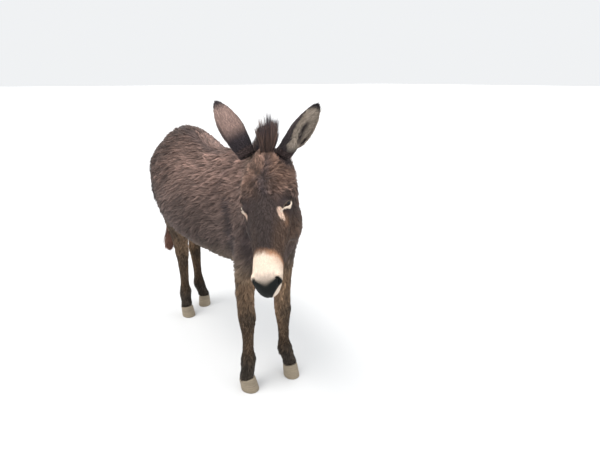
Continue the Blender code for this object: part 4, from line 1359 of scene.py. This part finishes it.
def tailSwitch():
    # hair from round the tail's end, t along it, none longer than what is left of the tail
    w, count = switchShape, switchShape["count"]
    low, high = (np.array(v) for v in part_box("tail_switch"))
    top = np.array((high[0] - 0.030, (low[1] + high[1]) / 2, high[2]))
    end = np.array((low[0] + 0.012, (low[1] + high[1]) / 2, low[2]))
    t = rng.random(count) ** 1.2 * w["span"][0] + w["span"][1]
    angle = rng.random(count) * 2 * np.pi
    far = w["radius"] * rng.uniform(0.5, 1, count)
    around = np.column_stack([np.cos(angle), np.sin(angle), 0 * angle])
    roots = top + (end - top) * t[:, None] + around * far[:, None]
    ways = unit(unit(end - top) + around * (w["fan"] * np.clip(1 - t, 0, 1))[:, None])
    own, left = w["length"] * rng.uniform(0.6, 1.1, count), (1.0 - t) * np.linalg.norm(end - top)
    lengths = np.minimum(own, left * rng.uniform(0.85, 1.0, count))
    hues = layered("tailTip", ("dark", 0.45 * step(0.6, 1.0, rng.random(count))))
    unwrap = lambda p: unwrapRound(p, end, (0, 0, 1), (0, 1, 0), -0.05, 0.3)
    return lockPiece("switchHair", roots, ways, lengths, w, unwrap, hues)


maneHair, forelockHair, switchHair = mane(), forelock(), tailSwitch()


# finishes: a small class so that shader maths reads as sums
class Value:
    def __init__(self, recipe, socket):
        self.recipe, self.socket = recipe, socket

    def joined(self, other, operation, flipped=False):
        ends = (other, self) if flipped else (self, other)
        return self.recipe.node("ShaderNodeMath", {"operation": operation}, {0: ends[0], 1: ends[1]})

    def __add__(self, other):
        return self.joined(other, "ADD")

    def __radd__(self, other):
        return self.joined(other, "ADD", True)

    def __sub__(self, other):
        return self.joined(other, "SUBTRACT")

    def __rsub__(self, other):
        return self.joined(other, "SUBTRACT", True)

    def __mul__(self, other):
        return self.joined(other, "MULTIPLY")

    def __rmul__(self, other):
        return self.joined(other, "MULTIPLY", True)


class Recipe:
    # the nodes of a material, or of the world
    def __init__(self, owner, shader="Principled BSDF"):
        owner.use_nodes = True
        self.owner, self.tree = owner, owner.node_tree
        self.shader = self.tree.nodes[shader]

    def feed(self, socket, value):
        if isinstance(value, Value):
            self.tree.links.new(value.socket, socket)
        elif socket.type == "RGBA":
            socket.default_value = (*value, 1)
        else:
            socket.default_value = value

    def node(self, kind, settings=None, inputs=None, output=0):
        made = self.tree.nodes.new(kind)
        for key, value in (settings or {}).items():
            if key == "ramp":
                stops = made.color_ramp.elements
                while len(stops) < len(value):
                    stops.new(0.5)
                for stop, (place, colour) in zip(stops, value):
                    stop.position, stop.color = place, (*colour, 1)
            else:
                setattr(made, key, value)
        for key, value in (inputs or {}).items():
            self.feed(made.inputs[key], value)
        return Value(self, made.outputs[output])

    def finish(self, **sockets):
        for key, value in sockets.items():
            self.feed(self.shader.inputs[key.replace("_", " ")], value)
        return self.owner

    def attribute(self, name, output="Color"):
        return self.node("ShaderNodeAttribute", {"attribute_name": name}, output=output)

    def place(self, output="Object"):
        return self.node("ShaderNodeTexCoord", output=output)

    def mixed(self, a, b, factor, blend="MIX"):
        kind = {"data_type": "RGBA", "blend_type": blend}
        return self.node("ShaderNodeMix", kind, {0: factor, 6: a, 7: b}, 2)

    def ramp(self, stops, factor):
        return self.node("ShaderNodeValToRGB", {"ramp": stops}, {"Fac": factor})

    def stretched(self, vector, scale):
        return self.node("ShaderNodeMapping", {}, {"Vector": vector, "Scale": scale})

    def noise(self, vector, scale, detail=3.0):
        sockets = {"Vector": vector, "Scale": scale, "Detail": detail, "Roughness": 0.6}
        return self.node("ShaderNodeTexNoise", {}, sockets)

    def bump(self, height, strength, distance):
        return self.node("ShaderNodeBump", {}, {"Height": height, "Strength": strength, "Distance": distance})


def coatFinish():
    r = Recipe(bpy.data.materials.new("coatHair"))
    grain = r.noise(r.place(), 900.0, 2.0)
    grey = r.node("ShaderNodeCombineColor", {}, {0: grain, 1: grain, 2: grain})
    hue = r.mixed(r.attribute("hue"), grey, 0.22, "OVERLAY")
    return r.finish(
        Base_Color=hue, Roughness=0.78, Specular_IOR_Level=0.22, Sheen_Weight=0.12, Sheen_Roughness=0.5
    )


def skinFinish():
    # short hair as bump: noise stretched along the lie, which the lay attribute gives as across and along;
    # where the skin is wet, round pebbles take its place
    r = Recipe(bpy.data.materials.new("shortCoat"))
    fine = r.noise(r.stretched(r.attribute("lay", "Vector"), (900.0, 120.0, 900.0)), 1.0, 4.0)
    pebble = r.node("ShaderNodeTexVoronoi", {}, {"Vector": r.place(), "Scale": 520.0})
    wet = r.attribute("wet", "Fac")
    tone = r.ramp([(0.25, (0.45, 0.45, 0.45)), (0.75, (1.0, 1.0, 1.0))], fine)
    colour = r.mixed(r.attribute("hue"), tone, 0.75, "MULTIPLY")
    bump = r.bump(fine * (1 - wet) + pebble * wet * 0.5, 0.6, 0.0012)
    return r.finish(Base_Color=colour, Roughness=0.85 - 0.30 * wet, Specular_IOR_Level=0.14, Normal=bump)


def eyeFinish():
    # dark iris rings by the angle from the gaze, and the long dark bar of the pupil
    r = Recipe(bpy.data.materials.new("eyeBall"))
    rings = (0.0, (0.010, 0.006, 0.004)), (0.45, (0.024, 0.012, 0.007)), (0.72, (0.006, 0.004, 0.004))
    iris = r.ramp([*rings, (1.0, (0.014, 0.010, 0.009))], r.attribute("gaze", "Fac"))
    colour = r.mixed(iris, (0.004, 0.004, 0.006), r.attribute("bar", "Fac"))
    return r.finish(Base_Color=colour, Roughness=0.08, Specular_IOR_Level=0.16)


def hornFinish():
    # growth rings across the hoof and fine grain down it
    r = Recipe(bpy.data.materials.new("hoofHorn"))
    rings, grain = (
        r.noise(r.stretched(r.place(), scale), 1.0) for scale in ((12.0, 12.0, 260.0), (500.0, 500.0, 40.0))
    )
    stops = [(0.2, (0.10, 0.080, 0.056)), (0.55, (0.235, 0.192, 0.136)), (0.85, (0.37, 0.315, 0.228))]
    colour, bump = r.ramp(stops, 0.6 * rings + 0.4 * grain), r.bump(rings + grain, 0.5, 0.0008)
    return r.finish(Base_Color=colour, Roughness=0.45 + 0.3 * grain, Specular_IOR_Level=0.35, Normal=bump)


coatMaterial, skinMaterial, eyeMaterial, hornMaterial = coatFinish(), skinFinish(), eyeFinish(), hornFinish()

# the skin's colour, the lie of its short hair, and where it is bare and damp
skinHead = regionsOf(skinPoints)["head"]
skinAlong = toHead(skinPoints)[:, 1]
byEye = sum(bell(distanceTo(skinPoints, eyeMiddle[side]), 0.030) for side in signs)
bare = step(0.34, 0.37, skinAlong) * skinHead + 1.2 * byEye
shadeBelowHair = 0.62 + 0.34 * np.clip(bare, 0, 1)  # painted shade: the skin is darker below long hair, which shades it
skinLie = lieOf(skinPoints, skinNormals, skinEar)
lay = [np.sum(skinPoints * way, axis=1) for way in (np.cross(skinNormals, skinLie), skinLie)]
setAttribute(skin.data, "hue", colourOf(skinPoints, skinNormals, skinEar) * shadeBelowHair[:, None])
setAttribute(skin.data, "lay", np.column_stack([*lay, 0 * skinEar]))
setAttribute(skin.data, "wet", step(0.415, 0.445, skinAlong) * skinHead)
skin.data.materials.clear()
skin.data.materials.append(skinMaterial)
skin.data.polygons.foreach_set("material_index", np.zeros(len(skin.data.polygons), np.int32))
skin.data.polygons.foreach_set("use_smooth", np.ones(len(skin.data.polygons), bool))
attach(skin, "root")
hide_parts(*fleshNodes, "ear_left", "ear_right")


# the eyes
ballShape = {
    "rings": 49, "around": 48, "bulge": 0.05, "bulgeWidth": 0.62,
    "iris": 1.1,  # the angle from the gaze at which it ends
    "bar": (0.0065, 0.0036),  # the pupil's half length and half height
}


def eyeBall(side):
    # rings at angle t from the gaze: radius R (1 + bulge exp(-(t/w)^4)), the cornea standing a little proud
    b = ballShape
    t = np.linspace(0, np.pi, b["rings"])[:, None]
    turn = np.linspace(0, 2 * np.pi, b["around"], endpoint=False)[None]
    radius = eyeShape["radius"] * (1 + b["bulge"] * np.exp(-((t / b["bulgeWidth"]) ** 4)))
    gaze, u, v = eyeAxis[side], eyeLong[side], eyeLow[side]
    outward = np.cos(turn)[..., None] * u + np.sin(turn)[..., None] * v
    points = np.cos(t)[..., None] * gaze + np.sin(t)[..., None] * outward
    points = (points * radius[..., None] + eyeMiddle[side]).reshape(-1, 3)
    mesh = gridMesh("eyeBall_" + side, points, ringFaces(b["rings"], b["around"]))
    away = points - eyeMiddle[side]
    setAttribute(mesh, "gaze", (np.arccos(np.clip(unit(away) @ gaze, -1, 1)) / b["iris"]).clip(0, 1))
    setAttribute(mesh, "bar", 1 - step(0.8, 1.15, np.hypot(away @ u / b["bar"][0], away @ v / b["bar"][1])))
    faceOut(mesh, 1e-6)
    mesh.materials.append(eyeMaterial)
    obj = newObject("eyeBall_" + side, mesh)
    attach(obj, "root")
    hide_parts("eye_" + side)


for side in signs:
    eyeBall(side)


# the hooves
hoofShape = {
    "width": 0.062, "length": 0.072, "height": 0.050, "spread": 1.12, "reach": 0.014, "slope": 0.28,
    "square": 0.9, "around": 56, "rings": 9, "ringDepth": 0.004,
    "inset": 0.006,  # inside the outline of the solid
    "dent": 0.003,  # between the heels
}
toesOut = {"fore_left": 4, "fore_right": 26, "hind_left": 24, "hind_right": 6}  # degrees


def hoofPiece(name):
    # a squared oval (w cos, l sin) at each level t, spread towards the ground, with fine growth rings and
    # rounded edges
    h = hoofShape
    turn = np.array(Matrix.Rotation(-signs[name.split("_")[1]] * math.radians(toesOut[name]), 3, "Z"))
    t = np.concatenate([[0.0, 0.012], np.linspace(0.035, 0.965, 34), [0.99, 1.0]])[:, None]
    angle = np.linspace(0, 2 * np.pi, h["around"], endpoint=False)[None]
    spread = h["spread"] * (1 - t) + t
    spread = spread - 0.03 * np.exp(-((t / 0.012) ** 2)) - 0.04 * np.exp(-(((1 - t) / 0.02) ** 2))
    rings = 1 + np.sin(2 * np.pi * h["rings"] * t + 0.6 * np.sin(2 * angle))
    spread = spread - h["ringDepth"] * rings - h["inset"]
    across = h["width"] / 2 * spread * np.sign(np.cos(angle)) * np.abs(np.cos(angle)) ** h["square"]
    ahead = h["length"] / 2 * spread * np.sin(angle) + h["reach"] * (1 - t)
    ahead = ahead + h["dent"] * np.exp(-(((angle - 1.5 * np.pi) / 0.25) ** 2)) * (1 - 0.4 * t)
    rise = t * (h["height"] + h["slope"] * ahead) - 0.0004 * (t > 0.5)
    wall = np.stack([across, -ahead, rise], axis=-1)
    rows, around = wall.shape[:2]
    ends = [[0, -h["reach"], 0.0], [0, 0, h["height"] - 0.002]]  # the middles of the sole and of the top
    centre = soles[name] - turn @ np.array((0, -h["reach"], 0))
    points = np.concatenate([wall.reshape(-1, 3), ends]) @ turn.T + centre
    k = np.arange(around)
    base, last = rows * around, (rows - 1) * around
    sole = np.column_stack([np.full(around, base), (k + 1) % around, k])
    top = np.column_stack([np.full(around, base + 1), last + k, last + (k + 1) % around])
    mesh = bpy.data.meshes.new("hoofWall_" + name)
    mesh.from_pydata(points.tolist(), [], ringFaces(rows, around).tolist() + sole.tolist() + top.tolist())
    mesh.polygons.foreach_set("use_smooth", np.ones(len(mesh.polygons), bool))
    mesh.materials.append(hornMaterial)
    faceOut(mesh)
    obj = newObject("hoofWall_" + name, mesh)
    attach(obj, "root")
    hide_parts("hoof_" + name)


for name in soles:
    hoofPiece(name)

for piece in pieces:
    piece.data.materials.append(coatMaterial)
    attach(piece, "root")
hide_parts("mane")
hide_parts("forelock")


# floor, light and camera
studioLight = {
    "low": 0.90,  # the sky's strength at the horizon and overhead
    "high": 2.4,
    "air": (0.97, 0.985, 1.0),
    "sun": 1.9,
    "softness": 32.0,  # degrees across the main light
    "from": (-0.55, 0.20, 1.25),
    "warmth": (1.0, 0.975, 0.94),
    "floor": 0.50,
    "floorReach": 90,
}


def studio():
    # a wide pale floor under a soft sky, even low down and brighter overhead, and one large soft light
    light = studioLight
    w = light["floorReach"]
    corners = [(-w, -w, 0), (w, -w, 0), (w, w, 0), (-w, w, 0)]
    floor = newObject("floor", gridMesh("floor", corners, [(0, 1, 2, 3)]))
    r = Recipe(bpy.data.materials.new("paleFloor"))
    tone = r.mixed((light["floor"],) * 3, (light["floor"] * 1.02,) * 3, r.noise(r.place(), 0.8, 2.0))
    floor.data.materials.append(r.finish(Base_Color=tone, Roughness=0.9))
    air = Recipe(bpy.data.worlds.new("studioAir"), "Background")
    up = air.node("ShaderNodeSeparateXYZ", {}, {0: air.place("Generated")}, "Z")
    spans = {"From Min": 0.2, "From Max": 0.8, "To Min": light["low"], "To Max": light["high"]}
    glow = air.node("ShaderNodeMapRange", {}, {"Value": up, **spans})
    bpy.context.scene.world = air.finish(Color=light["air"], Strength=glow)
    lamp = bpy.data.lights.new("highLight", "SUN")
    lamp.energy, lamp.angle, lamp.color = light["sun"], math.radians(light["softness"]), light["warmth"]
    obj = newObject("highLight", lamp)
    obj.rotation_mode = "QUATERNION"
    obj.rotation_quaternion = Vector(light["from"]).to_track_quat("Z", "Y")
    bpy.context.scene.view_settings.view_transform = "Standard"


camera = {"place": (-0.8356, -1.761, 1.285), "turn": 34.72, "pitch": 18.0, "lens": 27.0, "sensor": 36}


def standCamera():
    data = bpy.data.cameras.new("camera")
    data.lens, data.sensor_width = camera["lens"], camera["sensor"]
    obj = newObject("camera", data)
    obj.location = camera["place"]
    obj.rotation_euler = (math.radians(90 - camera["pitch"]), 0, -math.radians(camera["turn"]))
    bpy.context.scene.camera = obj


studio()
standCamera()
print("studio set")
